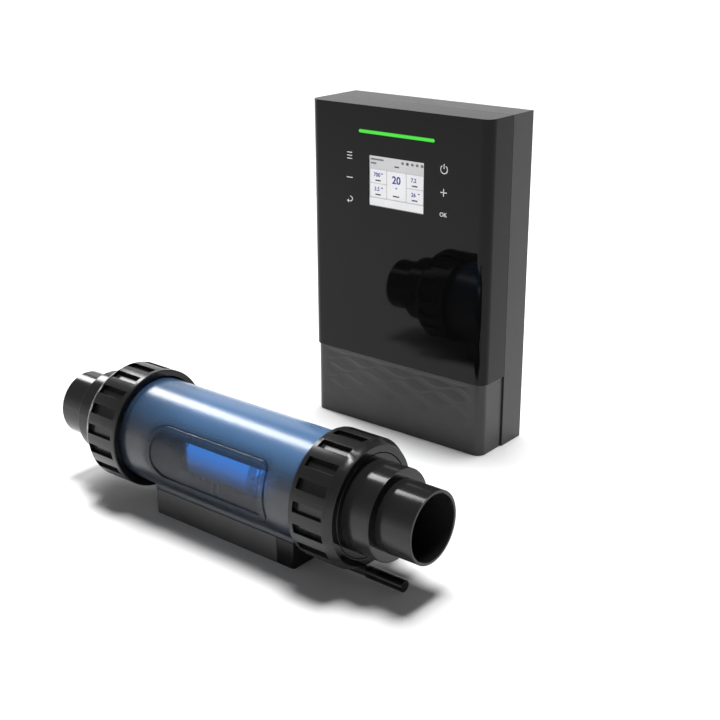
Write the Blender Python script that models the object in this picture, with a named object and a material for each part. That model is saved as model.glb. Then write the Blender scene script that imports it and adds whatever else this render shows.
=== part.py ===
"""Salt chlorine generator: a wall controller and the electrolytic cell that it feeds.

Blender 4.5, metres, +Z up. The origin is the middle of the set's footprint, on the ground.
The cell lies along X in front; the controller stands behind it, facing -Y.
"""
import math

import bmesh
import bpy
from mathutils import Matrix, Vector

GAP = 0.0003            # between pieces that touch
SLIM = 0.0002           # between an elastic ring and its groove

# Controller case
BOX_W = 0.2225
BOX_H = 0.3445
BOX_D = 0.0748
BOX_X = -0.0249         # middle of the case, along X
CASE_WALL = 0.003
COVER_WALL = 0.0025
COVER_D = 0.0394        # how far the glossy cover wraps back along the sides
CORNER_R = 0.0108       # upright front corners
WIRING_H = BOX_H * 0.22584       # height of the lower, textured cover
WIRING_INSET = 0.0018
WIRING_WALL = 0.0022
FLOOR_WALL_Z = 0.016    # underside of the case floor, above the gland recess
GLAND_PITCH = 0.060

# Panel
SCREEN_W = 0.0689
SCREEN_H = 0.0508
SCREEN_Z = BOX_H - 0.0752
SCREEN_RIM = 0.0015     # of the display behind its window
SCREEN_T = 0.0032
WINDOW_T = 0.0016
LIGHT_W = 0.0940
LIGHT_H = 0.0031
LIGHT_Z = BOX_H - 0.0263
TOUCH_X = 0.0590        # middle of the case to each column of touch marks
TOUCH_W = 0.016
TOUCH_H = 0.062
DISPLAY_BOARD_Y = COVER_WALL + 0.0056
DISPLAY_BOARD_W = 0.160

# Case screws
SCREW_R = 0.0015
SCREW_HEAD_R = 0.0038
SCREW_HEAD_T = 0.0016
BOSS_R = 0.0045
BOSS_INSET = 0.0090     # screw line to the case's outer face
BOSS_DROP = 0.0140      # screw line to the ends of the glossy cover

# Power board, between the wiring space and the display
BOARD_W = BOX_W - 0.0525
BOARD_T = 0.0016
BOARD_LOW = WIRING_H + 0.0142
BOARD_HIGH = SCREEN_Z - 0.0370
BOARD_STANDOFF = 0.009
STANDOFF_R = 0.0035
STANDOFF_INSET = 0.006
UPPER_RISE = (BOARD_HIGH - BOARD_LOW) * 0.2138      # board's middle to the coil and the heat sink
LOWER_DROP = (BOARD_HIGH - BOARD_LOW) * 0.2887      # board's middle to the row of small parts
COIL_R = 0.025          # of the transformer's ring, to the middle of its section
COIL_HALF_W = 0.007
COIL_DEPTH = 0.031
CAN_R = 0.0105
CAN_LEN = 0.030
TERMINAL_Z = 0.048

# Electrolytic cell, along X
CELL_TO_BOX = 0.2571    # cell axis to the controller's front face
TUBE_R = 0.049
TUBE_WALL = 0.004
TUBE_BORE_R = TUBE_R - TUBE_WALL
TUBE_HALF = 0.1322
THREAD_H = 0.0009
THREAD_PITCH = 0.006
THREADS = 3
FRAME_HALF_X = 0.0725
FRAME_HALF_Z = 0.0275
FRAME_W = 0.0065
FRAME_LEFT_R = 0.0245
FRAME_RIGHT_R = 0.0080
FRAME_RAISE = 0.0014
FRAME_TILT = math.radians(4.5)
FOOT_H = 0.022          # clear plinth moulded under the tube

# Unions
NUT_START = TUBE_HALF - 0.0260      # middle of the cell to the nut's inner face
NUT_LEN = 0.0434
NUT_LAND_LEN = 0.0360
NUT_BORE_R = TUBE_R + THREAD_H + 0.0005
NUT_R = NUT_BORE_R + 0.0061
GROOVE_DEPTH = 0.0043
NUT_RIM_R = NUT_R - GROOVE_DEPTH
NUT_WALL_START = 0.0334
NUT_COLLAR_LEN = 0.005
GROOVES = 18
GROOVE_ANGLE = math.radians(9.5)
FLANGE_R = NUT_BORE_R - 0.0008
FLANGE_T = 0.0053
STEP_R = FLANGE_R - 0.0044
NUT_FRONT_R = STEP_R + 0.0005
COLLAR_R = STEP_R - 0.0052
COLLAR_END = 0.0707     # from the nut's inner face
STUB_R = 0.0315
STUB_WALL = 0.0028
STUB_BORE_R = STUB_R - STUB_WALL
STUB_END = 0.1051
RING_R = TUBE_BORE_R + 0.0019
RING_THICK_R = 0.0011
EDGE = 0.0008           # chamfer of the turned pieces

# Base under the cell
CELL_Z = NUT_R + 0.0135             # the nuts clear the ground
BASE_HALF_X = NUT_START - 0.0200
BASE_HALF_Y = 0.028
BASE_H = CELL_Z - TUBE_R + 0.0037   # the tube lies in a shallow cradle
BASE_CORNER_R = 0.003
BASE_WALL = 0.003
BASE_ROOF_Z = BASE_H - 0.0072
BASE_PLATE_T = 0.0025
CAP_LEN = 0.020
BASE_SCREW_X = BASE_HALF_X - 0.0242
BASE_SCREW_R = 0.0013
BASE_HEAD_R = 0.0028
BASE_HEAD_T = 0.0009
BASE_BOSS_R = 0.004

# Electrodes
PLATES = 5
PLATE_PITCH = 0.008
PLATE_T = 0.001
PLATE_HALF_X = 0.058
PLATE_TOP = 0.006
PLATE_BOTTOM = -0.024
COMB_X = PLATE_HALF_X - 0.006
COMB_T = 0.006
COMB_R = TUBE_BORE_R - 0.0004
COMB_RIM = 0.0035
COMB_BAR_H = 0.006
SLOT_DEPTH = 0.003
POST_X = PLATE_HALF_X - 0.022
POST_R = 0.003
POST_HEAD_R = 0.0045
POST_LOW = 0.012        # lower end of a post, above the ground
BUS_HALF_W = 0.002

# Cell lead
LEAD_Z = 0.0070
LEAD_R = 0.0045
LEAD_SAG = 0.0006
PLUG_R = 0.0055
PLUG_START = 0.1450
PLUG_END = 0.1837
GLAND_R = 0.0064
GLAND_END = BASE_HALF_X + 0.0038

CELL_Y = NUT_R - (NUT_R + CELL_TO_BOX + BOX_D) / 2
BOX_Y = CELL_Y + CELL_TO_BOX


def clear_scene():
    for obj in list(bpy.data.objects):
        bpy.data.objects.remove(obj, do_unlink=True)


def make_material(name, color, roughness, metallic=0.0, alpha=1.0):
    mat = bpy.data.materials.new(name)
    mat.use_nodes = True
    shader = mat.node_tree.nodes["Principled BSDF"]
    shader.inputs["Base Color"].default_value = (*color, 1.0)
    shader.inputs["Roughness"].default_value = roughness
    shader.inputs["Metallic"].default_value = metallic
    shader.inputs["Alpha"].default_value = alpha
    return mat


def add_object(name, bm, parent, mat=None, location=(0, 0, 0), turn_z=0.0):
    """Turn a bmesh into an object under an empty; without a material it is a cutter."""
    bmesh.ops.recalc_face_normals(bm, faces=bm.faces)
    mesh = bpy.data.meshes.new(name)
    bm.to_mesh(mesh)
    bm.free()
    mesh.shade_smooth()
    mesh.set_sharp_from_angle(angle=math.radians(30))
    obj = bpy.data.objects.new(name, mesh)
    bpy.context.collection.objects.link(obj)
    obj.parent = parent
    obj.location = location
    obj.rotation_euler = (0, 0, turn_z)
    if mat:
        mesh.materials.append(mat)
    else:
        obj.hide_render = True
        obj.display_type = "WIRE"
    return obj


def combine(target, tool, operation="DIFFERENCE"):
    mod = target.modifiers.new(tool.name, "BOOLEAN")
    mod.operation = operation
    mod.solver = "EXACT"
    mod.object = tool


def block(low, high):
    bm = bmesh.new()
    bmesh.ops.create_cube(bm, size=1.0)
    size = Vector(high) - Vector(low)
    middle = (Vector(high) + Vector(low)) / 2
    bmesh.ops.transform(bm, matrix=Matrix.Translation(middle) @ Matrix.Diagonal((*size, 1)), verts=bm.verts)
    return bm


def prism(outline, low, high, place):
    """Extrude a plan outline between two levels; place(u, v, w) gives the point in space."""
    bm = bmesh.new()
    face = bm.faces.new([bm.verts.new(place(u, v, low)) for u, v in outline])
    top = bmesh.ops.extrude_face_region(bm, geom=[face])["geom"]
    lift = Vector(place(0, 0, high)) - Vector(place(0, 0, low))
    bmesh.ops.translate(bm, vec=lift, verts=[v for v in top if isinstance(v, bmesh.types.BMVert)])
    return bm


def flat(u, v, w):
    return (u, v, w)


def upright(u, v, w):
    return (u, w, v)


def arc(cx, cy, radius, start, end, steps):
    points = []
    for k in range(steps + 1):
        angle = math.radians(start + (end - start) * k / steps)
        points.append((cx + radius * math.cos(angle), cy + radius * math.sin(angle)))
    return points


def rounded_rect(half_u, half_v, radius, steps=5):
    points = []
    for sign_u, sign_v, start in ((1, 1, 0), (-1, 1, 90), (-1, -1, 180), (1, -1, 270)):
        u, v = sign_u * (half_u - radius), sign_v * (half_v - radius)
        points += arc(u, v, radius, start, start + 90, steps)
    return points


def case_plan(half_w, front, back, radius):
    """Plan of the case with round front corners and square back ones."""
    left = arc(-half_w + radius, front + radius, radius, 180, 270, 6)
    right = arc(half_w - radius, front + radius, radius, 270, 360, 6)
    return left + right + [(half_w, back), (-half_w, back)]


def lathe(profile, segments, axis="X"):
    """Turn a closed profile of (along, radius) points round the axis."""
    bm = bmesh.new()
    rings = []
    for along, radius in profile:
        ring = []
        for k in range(segments):
            angle = 2 * math.pi * (k + 0.5) / segments
            a, b = radius * math.cos(angle), radius * math.sin(angle)
            ring.append(bm.verts.new((along, a, b) if axis == "X" else (a, b, along)))
        rings.append(ring)
    for low, high in zip(rings, rings[1:] + rings[:1]):
        for k in range(segments):
            nxt = (k + 1) % segments
            bm.faces.new((low[k], low[nxt], high[nxt], high[k]))
    return bm


def rod(radius, start, end, segments=24, axis="X", at=(0, 0, 0)):
    """A plain solid cylinder along an axis."""
    bm = bmesh.new()
    bmesh.ops.create_cone(bm, cap_ends=True, segments=segments, radius1=radius, radius2=radius,
                          depth=end - start)
    turn = {"X": Matrix.Rotation(math.pi / 2, 4, "Y"), "Y": Matrix.Rotation(math.pi / 2, 4, "X"),
            "Z": Matrix.Identity(4)}[axis]
    middle = (start + end) / 2
    shift = {"X": (middle, 0, 0), "Y": (0, middle, 0), "Z": (0, 0, middle)}[axis]
    bmesh.ops.transform(bm, matrix=Matrix.Translation(Vector(at) + Vector(shift)) @ turn, verts=bm.verts)
    return bm


def stepped_rod(steps, segments, axis="X", at=(0, 0, 0)):
    """A solid turned piece: (along, radius) points of its outer side, capped at both ends."""
    bm = bmesh.new()
    rings = []
    for along, radius in steps:
        ring = []
        for k in range(segments):
            angle = 2 * math.pi * (k + 0.5) / segments
            a, b = radius * math.cos(angle), radius * math.sin(angle)
            point = {"X": (along, a, b), "Y": (a, along, b), "Z": (a, b, along)}[axis]
            ring.append(bm.verts.new(Vector(point) + Vector(at)))
        rings.append(ring)
    for low, high in zip(rings, rings[1:]):
        for k in range(segments):
            nxt = (k + 1) % segments
            bm.faces.new((low[k], low[nxt], high[nxt], high[k]))
    bm.faces.new(rings[0])
    bm.faces.new(rings[-1])
    return bm


def ring_torus(major, minor, along, segments, sides):
    profile = []
    for k in range(sides):
        angle = 2 * math.pi * k / sides
        profile.append((along + minor * math.cos(angle), major + minor * math.sin(angle)))
    return lathe(profile, segments)


# ------------------------------------------------------------------ controller

def boss_points():
    half_x = BOX_W / 2 - BOSS_INSET
    return [(side * half_x, z) for z in (BOX_H - BOSS_DROP, WIRING_H + BOSS_DROP) for side in (-1, 1)]


def build_front_cover(box, mats):
    half = BOX_W / 2
    shell = prism(case_plan(half, 0, COVER_D, CORNER_R), WIRING_H + GAP, BOX_H, flat)
    body = add_object("front_cover", shell, box, mats["gloss"])
    inner = case_plan(half - COVER_WALL, COVER_WALL, COVER_D + 0.01, CORNER_R - COVER_WALL)
    pocket = prism(inner, WIRING_H + GAP + COVER_WALL, BOX_H - COVER_WALL, flat)
    combine(body, add_object("cut_cover_pocket", pocket, box))
    window = block((-SCREEN_W / 2 - GAP, -0.01, SCREEN_Z - SCREEN_H / 2 - GAP),
                   (SCREEN_W / 2 + GAP, 0.01, SCREEN_Z + SCREEN_H / 2 + GAP))
    combine(body, add_object("cut_window", window, box))
    slot = prism(rounded_rect(LIGHT_W / 2 + GAP, LIGHT_H / 2 + GAP, LIGHT_H / 2, 4), -0.01, 0.01, upright)
    combine(body, add_object("cut_light_slot", slot, box, location=(0, 0, LIGHT_Z)))
    for k, (x, z) in enumerate(boss_points()):
        post = rod(BOSS_R, COVER_WALL / 2, COVER_D - GAP, 16, "Y", (x, 0, z))
        combine(body, add_object(f"join_boss_{k + 1}", post, box), "UNION")
        hole = rod(SCREW_R + 2 * SLIM, COVER_D / 3, COVER_D + 0.01, 12, "Y", (x, 0, z))
        combine(body, add_object(f"cut_boss_{k + 1}", hole, box))


def build_wiring_cover(box, mats):
    half = BOX_W / 2 - WIRING_INSET
    radius = CORNER_R - WIRING_INSET
    shell = prism(case_plan(half, WIRING_INSET, COVER_D, radius), GAP, WIRING_H, flat)
    body = add_object("wiring_cover", shell, box, mats["textured"])
    inner = case_plan(half - WIRING_WALL, WIRING_INSET + WIRING_WALL, COVER_D + 0.01, radius - WIRING_WALL)
    pocket = prism(inner, GAP + WIRING_WALL, WIRING_H - WIRING_WALL, flat)
    combine(body, add_object("cut_wiring_pocket", pocket, box))


def gland_points():
    return [(x, (COVER_D + BOX_D) / 2) for x in (-GLAND_PITCH, 0.0, GLAND_PITCH)]


def build_rear_case(box, mats):
    half = BOX_W / 2
    back = BOX_D - CASE_WALL
    shell = block((-half, COVER_D + GAP, 0), (half, BOX_D, BOX_H))
    body = add_object("rear_case", shell, box, mats["satin"])
    inside = half - CASE_WALL
    pocket = block((-inside, 0, FLOOR_WALL_Z + CASE_WALL), (inside, back, BOX_H - CASE_WALL))
    combine(body, add_object("cut_case_pocket", pocket, box))
    recess = block((-inside, 0, -0.01), (inside, back, FLOOR_WALL_Z))
    combine(body, add_object("cut_gland_recess", recess, box))
    for k, (x, y) in enumerate(gland_points()):
        hole = rod(0.0065, FLOOR_WALL_Z - 0.002, FLOOR_WALL_Z + CASE_WALL + 0.002, 24, "Z", (x, y, 0))
        combine(body, add_object(f"cut_gland_{k + 1}", hole, box))
    for k, (x, z) in enumerate(boss_points()):
        seat, loose, wide = BOX_D - SCREW_HEAD_T - 2 * GAP, SCREW_R + 2 * SLIM, SCREW_HEAD_R + GAP
        steps = [(back - 0.01, loose), (seat, loose), (seat, wide), (BOX_D + 0.01, wide)]
        hole = stepped_rod(steps, 20, "Y", (x, 0, z))
        combine(body, add_object(f"cut_case_screw_{k + 1}", hole, box))
    for k, (x, z) in enumerate(standoff_points()):
        post = rod(STANDOFF_R, back - BOARD_STANDOFF, back + CASE_WALL / 2, 12, "Y", (x, 0, z))
        combine(body, add_object(f"join_standoff_{k + 1}", post, box), "UNION")


def standoff_points():
    half = BOARD_W / 2 - STANDOFF_INSET
    levels = (BOARD_LOW + STANDOFF_INSET, BOARD_HIGH - STANDOFF_INSET)
    return [(side * half, z) for side in (-1, 1) for z in levels]


def build_case_hardware(box, mats):
    for k, (x, z) in enumerate(boss_points()):
        head = BOX_D - SCREW_HEAD_T - GAP
        steps = [(COVER_D / 3 + 0.004, SCREW_R), (head, SCREW_R)]
        steps += [(head, SCREW_HEAD_R), (BOX_D - GAP, SCREW_HEAD_R)]
        add_object(f"case_screw_{k + 1}", stepped_rod(steps, 16, "Y", (x, 0, z)), box, mats["steel"])
    low = FLOOR_WALL_Z
    for k, (x, y) in enumerate(gland_points()):
        steps = [(0.0030, 0.0070), (0.0050, 0.0090), (low - GAP, 0.0090), (low - GAP, 0.0061),
                 (low + CASE_WALL + 0.004, 0.0061)]
        add_object(f"cable_gland_{k + 1}", stepped_rod(steps, 24, "Z", (x, y, 0)), box, mats["satin"])
    outer_x = BOX_W / 2 - CASE_WALL - GAP
    low_z, high_z = WIRING_H + GAP + COVER_WALL, BOX_H - CASE_WALL - GAP
    middle = (low_z + high_z) / 2
    rim = rounded_rect(outer_x, (high_z - low_z) / 2, 0.001, 1)
    seal = prism(rim, COVER_D + GAP, COVER_D + 0.0025, upright)
    gasket = add_object("case_gasket", seal, box, mats["rubber"], (0, 0, middle))
    hole = prism(rounded_rect(outer_x - 0.0025, (high_z - low_z) / 2 - 0.0025, 0.001, 1), 0, BOX_D, upright)
    combine(gasket, add_object("cut_gasket", hole, box, location=(0, 0, middle)))


def build_panel(box, mats):
    half_w, half_h = SCREEN_W / 2, SCREEN_H / 2
    lens = block((-half_w, 0, SCREEN_Z - half_h), (half_w, WINDOW_T, SCREEN_Z + half_h))
    add_object("display_window", lens, box, mats["clear"])
    rim = SCREEN_RIM
    screen = block((-half_w - rim, COVER_WALL + GAP, SCREEN_Z - half_h - rim),
                   (half_w + rim, COVER_WALL + GAP + SCREEN_T, SCREEN_Z + half_h + rim))
    add_object("display_panel", screen, box, mats["screen"])
    back = DISPLAY_BOARD_Y - GAP
    bar = prism(rounded_rect(LIGHT_W / 2, LIGHT_H / 2, LIGHT_H / 2 - 0.0001, 4), 0, back, upright)
    add_object("status_light_bar", bar, box, mats["light"], (0, 0, LIGHT_Z))
    half = DISPLAY_BOARD_W / 2
    board = block((-half, DISPLAY_BOARD_Y, SCREEN_Z - TOUCH_H / 2 - 0.005),
                  (half, DISPLAY_BOARD_Y + BOARD_T, LIGHT_Z + LIGHT_H))
    add_object("display_board", board, box, mats["board"])
    for side, name in ((-1, "left"), (1, "right")):
        x = side * TOUCH_X
        strip = block((x - TOUCH_W / 2, COVER_WALL + GAP, SCREEN_Z - TOUCH_H / 2),
                      (x + TOUCH_W / 2, back, SCREEN_Z + TOUCH_H / 2))
        add_object(f"touch_strip_{name}", strip, box, mats["foam"])


def comb_outline(width, count, fin, base, height):
    """Section of a finned block: fins along +v from a base strip."""
    points = [(-width / 2, 0)]
    pitch = (width - fin) / (count - 1)
    for k in range(count):
        start = -width / 2 + k * pitch
        points += [(start, height), (start + fin, height)]
        if k < count - 1:
            points += [(start + fin, base), (start + pitch, base)]
    return points + [(width / 2, 0)]


def build_power_parts(box, mats):
    front = BOX_D - CASE_WALL - BOARD_STANDOFF - GAP - BOARD_T
    board_z = (BOARD_LOW + BOARD_HIGH) / 2
    board = block((-BOARD_W / 2, front, BOARD_LOW), (BOARD_W / 2, front + BOARD_T, BOARD_HIGH))
    add_object("power_board", board, box, mats["board"])
    top = front - GAP
    low, inner, outer, ease = top - COIL_DEPTH, COIL_R - COIL_HALF_W, COIL_R + COIL_HALF_W, 0.003
    core = [(low + ease, inner), (low, inner + ease), (low, outer - ease), (low + ease, outer),
            (top - ease, outer), (top, outer - ease), (top, inner + ease), (top - ease, inner)]
    coil = lathe(core, 28, "Z")
    bmesh.ops.rotate(coil, matrix=Matrix.Rotation(-math.pi / 2, 3, "X"), verts=coil.verts)
    add_object("toroid_transformer", coil, box, mats["copper"], (-0.045, 0, board_z + UPPER_RISE))
    row_z = board_z - LOWER_DROP
    for k, x in enumerate((0.012, 0.038)):
        can = stepped_rod([(top - CAN_LEN, CAN_R), (top, CAN_R)], 20, "Y", (x, 0, row_z))
        add_object(f"capacitor_{k + 1}", can, box, mats["can"])
    relay = block((-0.020, top - 0.016, row_z - 0.014), (-0.003, top, row_z + 0.014))
    add_object("relay", relay, box, mats["blue"])
    fuse = stepped_rod([(-0.072, 0.0045), (-0.046, 0.0045)], 16, "X", (0, top - 0.0055, row_z))
    add_object("fuse_holder", fuse, box, mats["satin"])
    fins = comb_outline(0.060, 8, 0.0022, 0.004, 0.026)
    sink = prism(fins, -0.030, 0.030, lambda u, v, w: (u, -v, w))
    add_object("heat_sink", sink, box, mats["aluminium"], (0.045, top, board_z + UPPER_RISE))
    ways = comb_outline(0.120, 11, 0.004, 0.012, 0.018)
    strip = prism(ways, -0.011, 0.011, lambda u, v, w: (u, -v, w))
    add_object("terminal_block", strip, box, mats["blue"], (0, BOX_D - CASE_WALL - GAP, TERMINAL_Z))


# ------------------------------------------------------------------ cell

def rounded_ends(left, right, half, left_r, right_r, steps=4):
    return (arc(right - right_r, half - right_r, right_r, 0, 90, steps)
            + arc(left + left_r, half - left_r, left_r, 90, 180, steps)
            + arc(left + left_r, -half + left_r, left_r, 180, 270, steps)
            + arc(right - right_r, -half + right_r, right_r, 270, 360, steps))


def frame_outline(inset):
    half_x, half_z = FRAME_HALF_X - inset, FRAME_HALF_Z - inset
    return rounded_ends(-half_x, half_x, half_z, FRAME_LEFT_R - inset, FRAME_RIGHT_R - inset, 8)


def build_housing(cell, mats):
    steps = [(-TUBE_HALF, TUBE_R - 0.001), (-TUBE_HALF + 0.001, TUBE_R)]
    for crest in range(THREADS):
        at = -TUBE_HALF + THREAD_PITCH * (crest + 1)
        steps += [(at - THREAD_H, TUBE_R), (at, TUBE_R + THREAD_H), (at + THREAD_H, TUBE_R)]
    steps += [(-along, radius) for along, radius in reversed(steps)]
    body = add_object("cell_housing", stepped_rod(steps, 48), cell, mats["tinted"])
    low = BASE_H + GAP - CELL_Z
    foot = block((-BASE_HALF_X, -BASE_HALF_Y, low), (BASE_HALF_X, BASE_HALF_Y, low + FOOT_H))
    combine(body, add_object("join_foot", foot, cell), "UNION")
    frame = add_object("join_frame", prism(frame_outline(0), -0.060, -0.030, upright), cell)
    frame.rotation_euler = (-FRAME_TILT, 0, 0)
    hole = add_object("cut_frame", prism(frame_outline(FRAME_W), -0.070, -0.020, upright), cell)
    hole.rotation_euler = (-FRAME_TILT, 0, 0)
    skin = add_object("trim_frame", rod(TUBE_R + FRAME_RAISE, -TUBE_HALF, TUBE_HALF, 48), cell)
    combine(frame, hole)
    combine(frame, skin, "INTERSECT")
    combine(body, frame, "UNION")
    combine(body, add_object("cut_bore", rod(TUBE_BORE_R, -0.2, 0.2, 48), cell))
    for k, side in enumerate((-1, 1)):
        hole = rod(POST_R + GAP, -0.060, -0.030, 16, "Z", (side * POST_X, 0, 0))
        combine(body, add_object(f"cut_post_{k + 1}", hole, cell))


def build_base(cell, mats):
    split = BASE_HALF_X - CAP_LEN
    small = 0.0005
    down = -CELL_Z
    plan = rounded_ends(-BASE_HALF_X, split, BASE_HALF_Y, BASE_CORNER_R, small)
    shell = prism(plan, down, down + BASE_H, flat)
    body = add_object("cell_base", shell, cell, mats["satin"])
    plan = rounded_ends(split + GAP, BASE_HALF_X, BASE_HALF_Y, small, BASE_CORNER_R)
    end = prism(plan, down, down + BASE_H, flat)
    cap = add_object("base_end_cap", end, cell, mats["gloss"])
    cradle = add_object("cut_cradle", rod(TUBE_R + GAP, -0.2, 0.2, 64), cell)
    combine(body, cradle)
    combine(cap, cradle)
    wall = BASE_WALL
    pocket = block((-BASE_HALF_X + wall, -BASE_HALF_Y + wall, down - 0.01),
                   (split - wall, BASE_HALF_Y - wall, down + BASE_ROOF_Z))
    combine(body, add_object("cut_base_pocket", pocket, cell))
    floor = block((-BASE_HALF_X + wall + GAP, -BASE_HALF_Y + wall + GAP, down),
                  (split - wall - GAP, BASE_HALF_Y - wall - GAP, down + BASE_PLATE_T))
    plate = add_object("base_plate", floor, cell, mats["satin"])
    for k, side in enumerate((-1, 1)):
        x = side * BASE_SCREW_X - CAP_LEN / 2
        boss = rod(BASE_BOSS_R, down + BASE_PLATE_T + GAP, down + BASE_ROOF_Z + 0.001, 16, "Z", (x, 0, 0))
        combine(body, add_object(f"join_base_boss_{k + 1}", boss, cell), "UNION")
        hole = rod(BASE_SCREW_R + GAP, down, down + 0.014, 12, "Z", (x, 0, 0))
        combine(body, add_object(f"cut_base_boss_{k + 1}", hole, cell))
        seat = BASE_HEAD_T + 0.0005
        wide, loose = BASE_HEAD_R + GAP, BASE_SCREW_R + GAP
        steps = [(-0.01, wide), (seat, wide), (seat, loose), (0.01, loose)]
        sink = stepped_rod(steps, 16, "Z", (x, 0, down))
        combine(plate, add_object(f"cut_plate_screw_{k + 1}", sink, cell))
        head = seat - GAP
        screw = stepped_rod([(head - BASE_HEAD_T, BASE_HEAD_R), (head, BASE_HEAD_R), (head, BASE_SCREW_R),
                             (0.012, BASE_SCREW_R)], 12, "Z", (x, 0, down))
        add_object(f"base_screw_{k + 1}", screw, cell, mats["steel"])
    for k, side in enumerate((-1, 1)):
        hole = rod(POST_R + GAP, down + 0.010, down + BASE_H + 0.010, 16, "Z", (side * POST_X, 0, 0))
        combine(body, add_object(f"cut_base_post_{k + 1}", hole, cell))
    lead_hole = rod(GLAND_R - 0.0012, split - 0.010, BASE_HALF_X + 0.010, 20, "X", (0, 0, down + LEAD_Z))
    tool = add_object("cut_lead_hole", lead_hole, cell)
    combine(body, tool)
    combine(cap, tool)


def plate_offsets():
    return [(k - (PLATES - 1) / 2) * PLATE_PITCH for k in range(PLATES)]


def build_electrodes(cell, mats):
    for k, y in enumerate(plate_offsets()):
        low = (-PLATE_HALF_X, y - PLATE_T / 2, PLATE_BOTTOM)
        high = (PLATE_HALF_X, y + PLATE_T / 2, PLATE_TOP)
        add_object(f"electrode_plate_{k + 1}", block(low, high), cell, mats["titanium"])
    for side, name in ((-1, "left"), (1, "right")):
        x = side * COMB_X
        low_x, high_x = x - COMB_T / 2, x + COMB_T / 2
        inner = COMB_R - COMB_RIM
        ring = lathe([(low_x, COMB_R), (high_x, COMB_R), (high_x, inner), (low_x, inner)], 32)
        comb = add_object(f"electrode_comb_{name}", ring, cell, mats["comb"])
        depth = SLOT_DEPTH
        spans = ((PLATE_TOP - depth, PLATE_TOP - depth + COMB_BAR_H),
                 (PLATE_BOTTOM + depth - COMB_BAR_H, PLATE_BOTTOM + depth))
        for row, (bar_low, bar_high) in zip(("top", "bottom"), spans):
            reach = math.sqrt((COMB_R - COMB_RIM / 2) ** 2 - max(abs(bar_low), abs(bar_high)) ** 2)
            bar = block((low_x + SLIM, -reach, bar_low), (high_x - SLIM, reach, bar_high))
            combine(comb, add_object(f"join_comb_{name}_{row}", bar, cell), "UNION")
        for k, y in enumerate(plate_offsets()):
            slot = block((low_x - 0.01, y - PLATE_T / 2 - GAP, PLATE_BOTTOM - GAP),
                         (high_x + 0.01, y + PLATE_T / 2 + GAP, PLATE_TOP + GAP))
            combine(comb, add_object(f"cut_comb_{name}_{k + 1}", slot, cell))
        top = PLATE_BOTTOM - GAP
        post = stepped_rod([(POST_LOW - CELL_Z, POST_R), (top - 0.002, POST_R), (top - 0.002, POST_HEAD_R),
                            (top, POST_HEAD_R)], 16, "Z", (side * POST_X, 0, 0))
        terminal = add_object(f"terminal_post_{name}", post, cell, mats["titanium"])
        width = plate_offsets()[-1] + PLATE_T
        bar = block((side * POST_X - BUS_HALF_W, -width, top - 0.0017),
                    (side * POST_X + BUS_HALF_W, width, top))
        combine(terminal, add_object(f"join_bus_{name}", bar, cell), "UNION")


def groove_cutters():
    """All the grip grooves of a nut as one tool; their front ends close against the sloped rim."""
    bm = bmesh.new()
    half = NUT_R * math.sin(GROOVE_ANGLE / 2)
    for k in range(GROOVES):
        one = block((NUT_COLLAR_LEN, -half, NUT_RIM_R + SLIM), (NUT_LAND_LEN, half, NUT_R + 0.004))
        bmesh.ops.rotate(one, matrix=Matrix.Rotation(2 * math.pi * k / GROOVES, 3, "X"), verts=one.verts)
        piece = bpy.data.meshes.new("groove")
        one.to_mesh(piece)
        one.free()
        bm.from_mesh(piece)
        bpy.data.meshes.remove(piece)
    return bm


def build_union(cell, mats, name, turn):
    """One end's union: every piece starts at the nut's inner face, on the cell's axis."""
    at = (NUT_START * math.cos(turn), 0, 0)
    chamfer = EDGE
    face = TUBE_HALF - NUT_START + GAP
    groove_low, groove_high = RING_R - RING_THICK_R - 2 * GAP, RING_R + RING_THICK_R + 2 * GAP
    depth = 2 * RING_THICK_R + 2 * GAP
    flange_end = face + FLANGE_T
    step_end = NUT_LEN - GAP
    tail = [(face, STUB_BORE_R), (face, groove_low), (face + depth, groove_low),
            (face + depth, groove_high), (face, groove_high), (face, FLANGE_R),
            (flange_end, FLANGE_R), (flange_end, STEP_R),
            (step_end, STEP_R), (step_end, COLLAR_R), (COLLAR_END - chamfer, COLLAR_R),
            (COLLAR_END, COLLAR_R - chamfer), (COLLAR_END, STUB_R), (STUB_END - chamfer, STUB_R),
            (STUB_END, STUB_R - chamfer), (STUB_END, STUB_BORE_R)]
    add_object(f"{name}_union_tail", lathe(tail, 48), cell, mats["gloss"], at, turn)
    ring = ring_torus(RING_R, RING_THICK_R, face + RING_THICK_R + SLIM, 36, 6)
    add_object(f"{name}_o_ring", ring, cell, mats["rubber"], at, turn)
    slip_start = flange_end + GAP
    slip_end = NUT_WALL_START - GAP
    inner = STEP_R + GAP
    slip = [(slip_start, inner), (slip_start, FLANGE_R), (slip_end, FLANGE_R), (slip_end, inner)]
    add_object(f"{name}_slip_ring", lathe(slip, 36), cell, mats["rubber"], at, turn)
    nut = [(0, NUT_BORE_R), (0, NUT_R - chamfer), (chamfer, NUT_R), (NUT_LAND_LEN, NUT_R),
           (NUT_LEN - chamfer / 2, NUT_RIM_R), (NUT_LEN, NUT_RIM_R - chamfer / 2),
           (NUT_LEN, NUT_FRONT_R), (NUT_WALL_START, NUT_FRONT_R), (NUT_WALL_START, NUT_BORE_R)]
    body = add_object(f"{name}_union_nut", lathe(nut, 72), cell, mats["satin"], at, turn)
    combine(body, add_object(f"cut_{name}_grooves", groove_cutters(), cell, location=at, turn_z=turn))


def lead_points():
    """Centre line of the cell's lead, from its gland to its plug, on the cell's own axes."""
    start, end = GLAND_END + GAP, PLUG_START - GAP
    count = 5
    points = []
    for k in range(count + 1):
        share = k / count
        drop = LEAD_SAG * math.sin(math.pi * share)
        points.append((start + (end - start) * share, 0.0, LEAD_Z - CELL_Z - drop))
    return points


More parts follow.
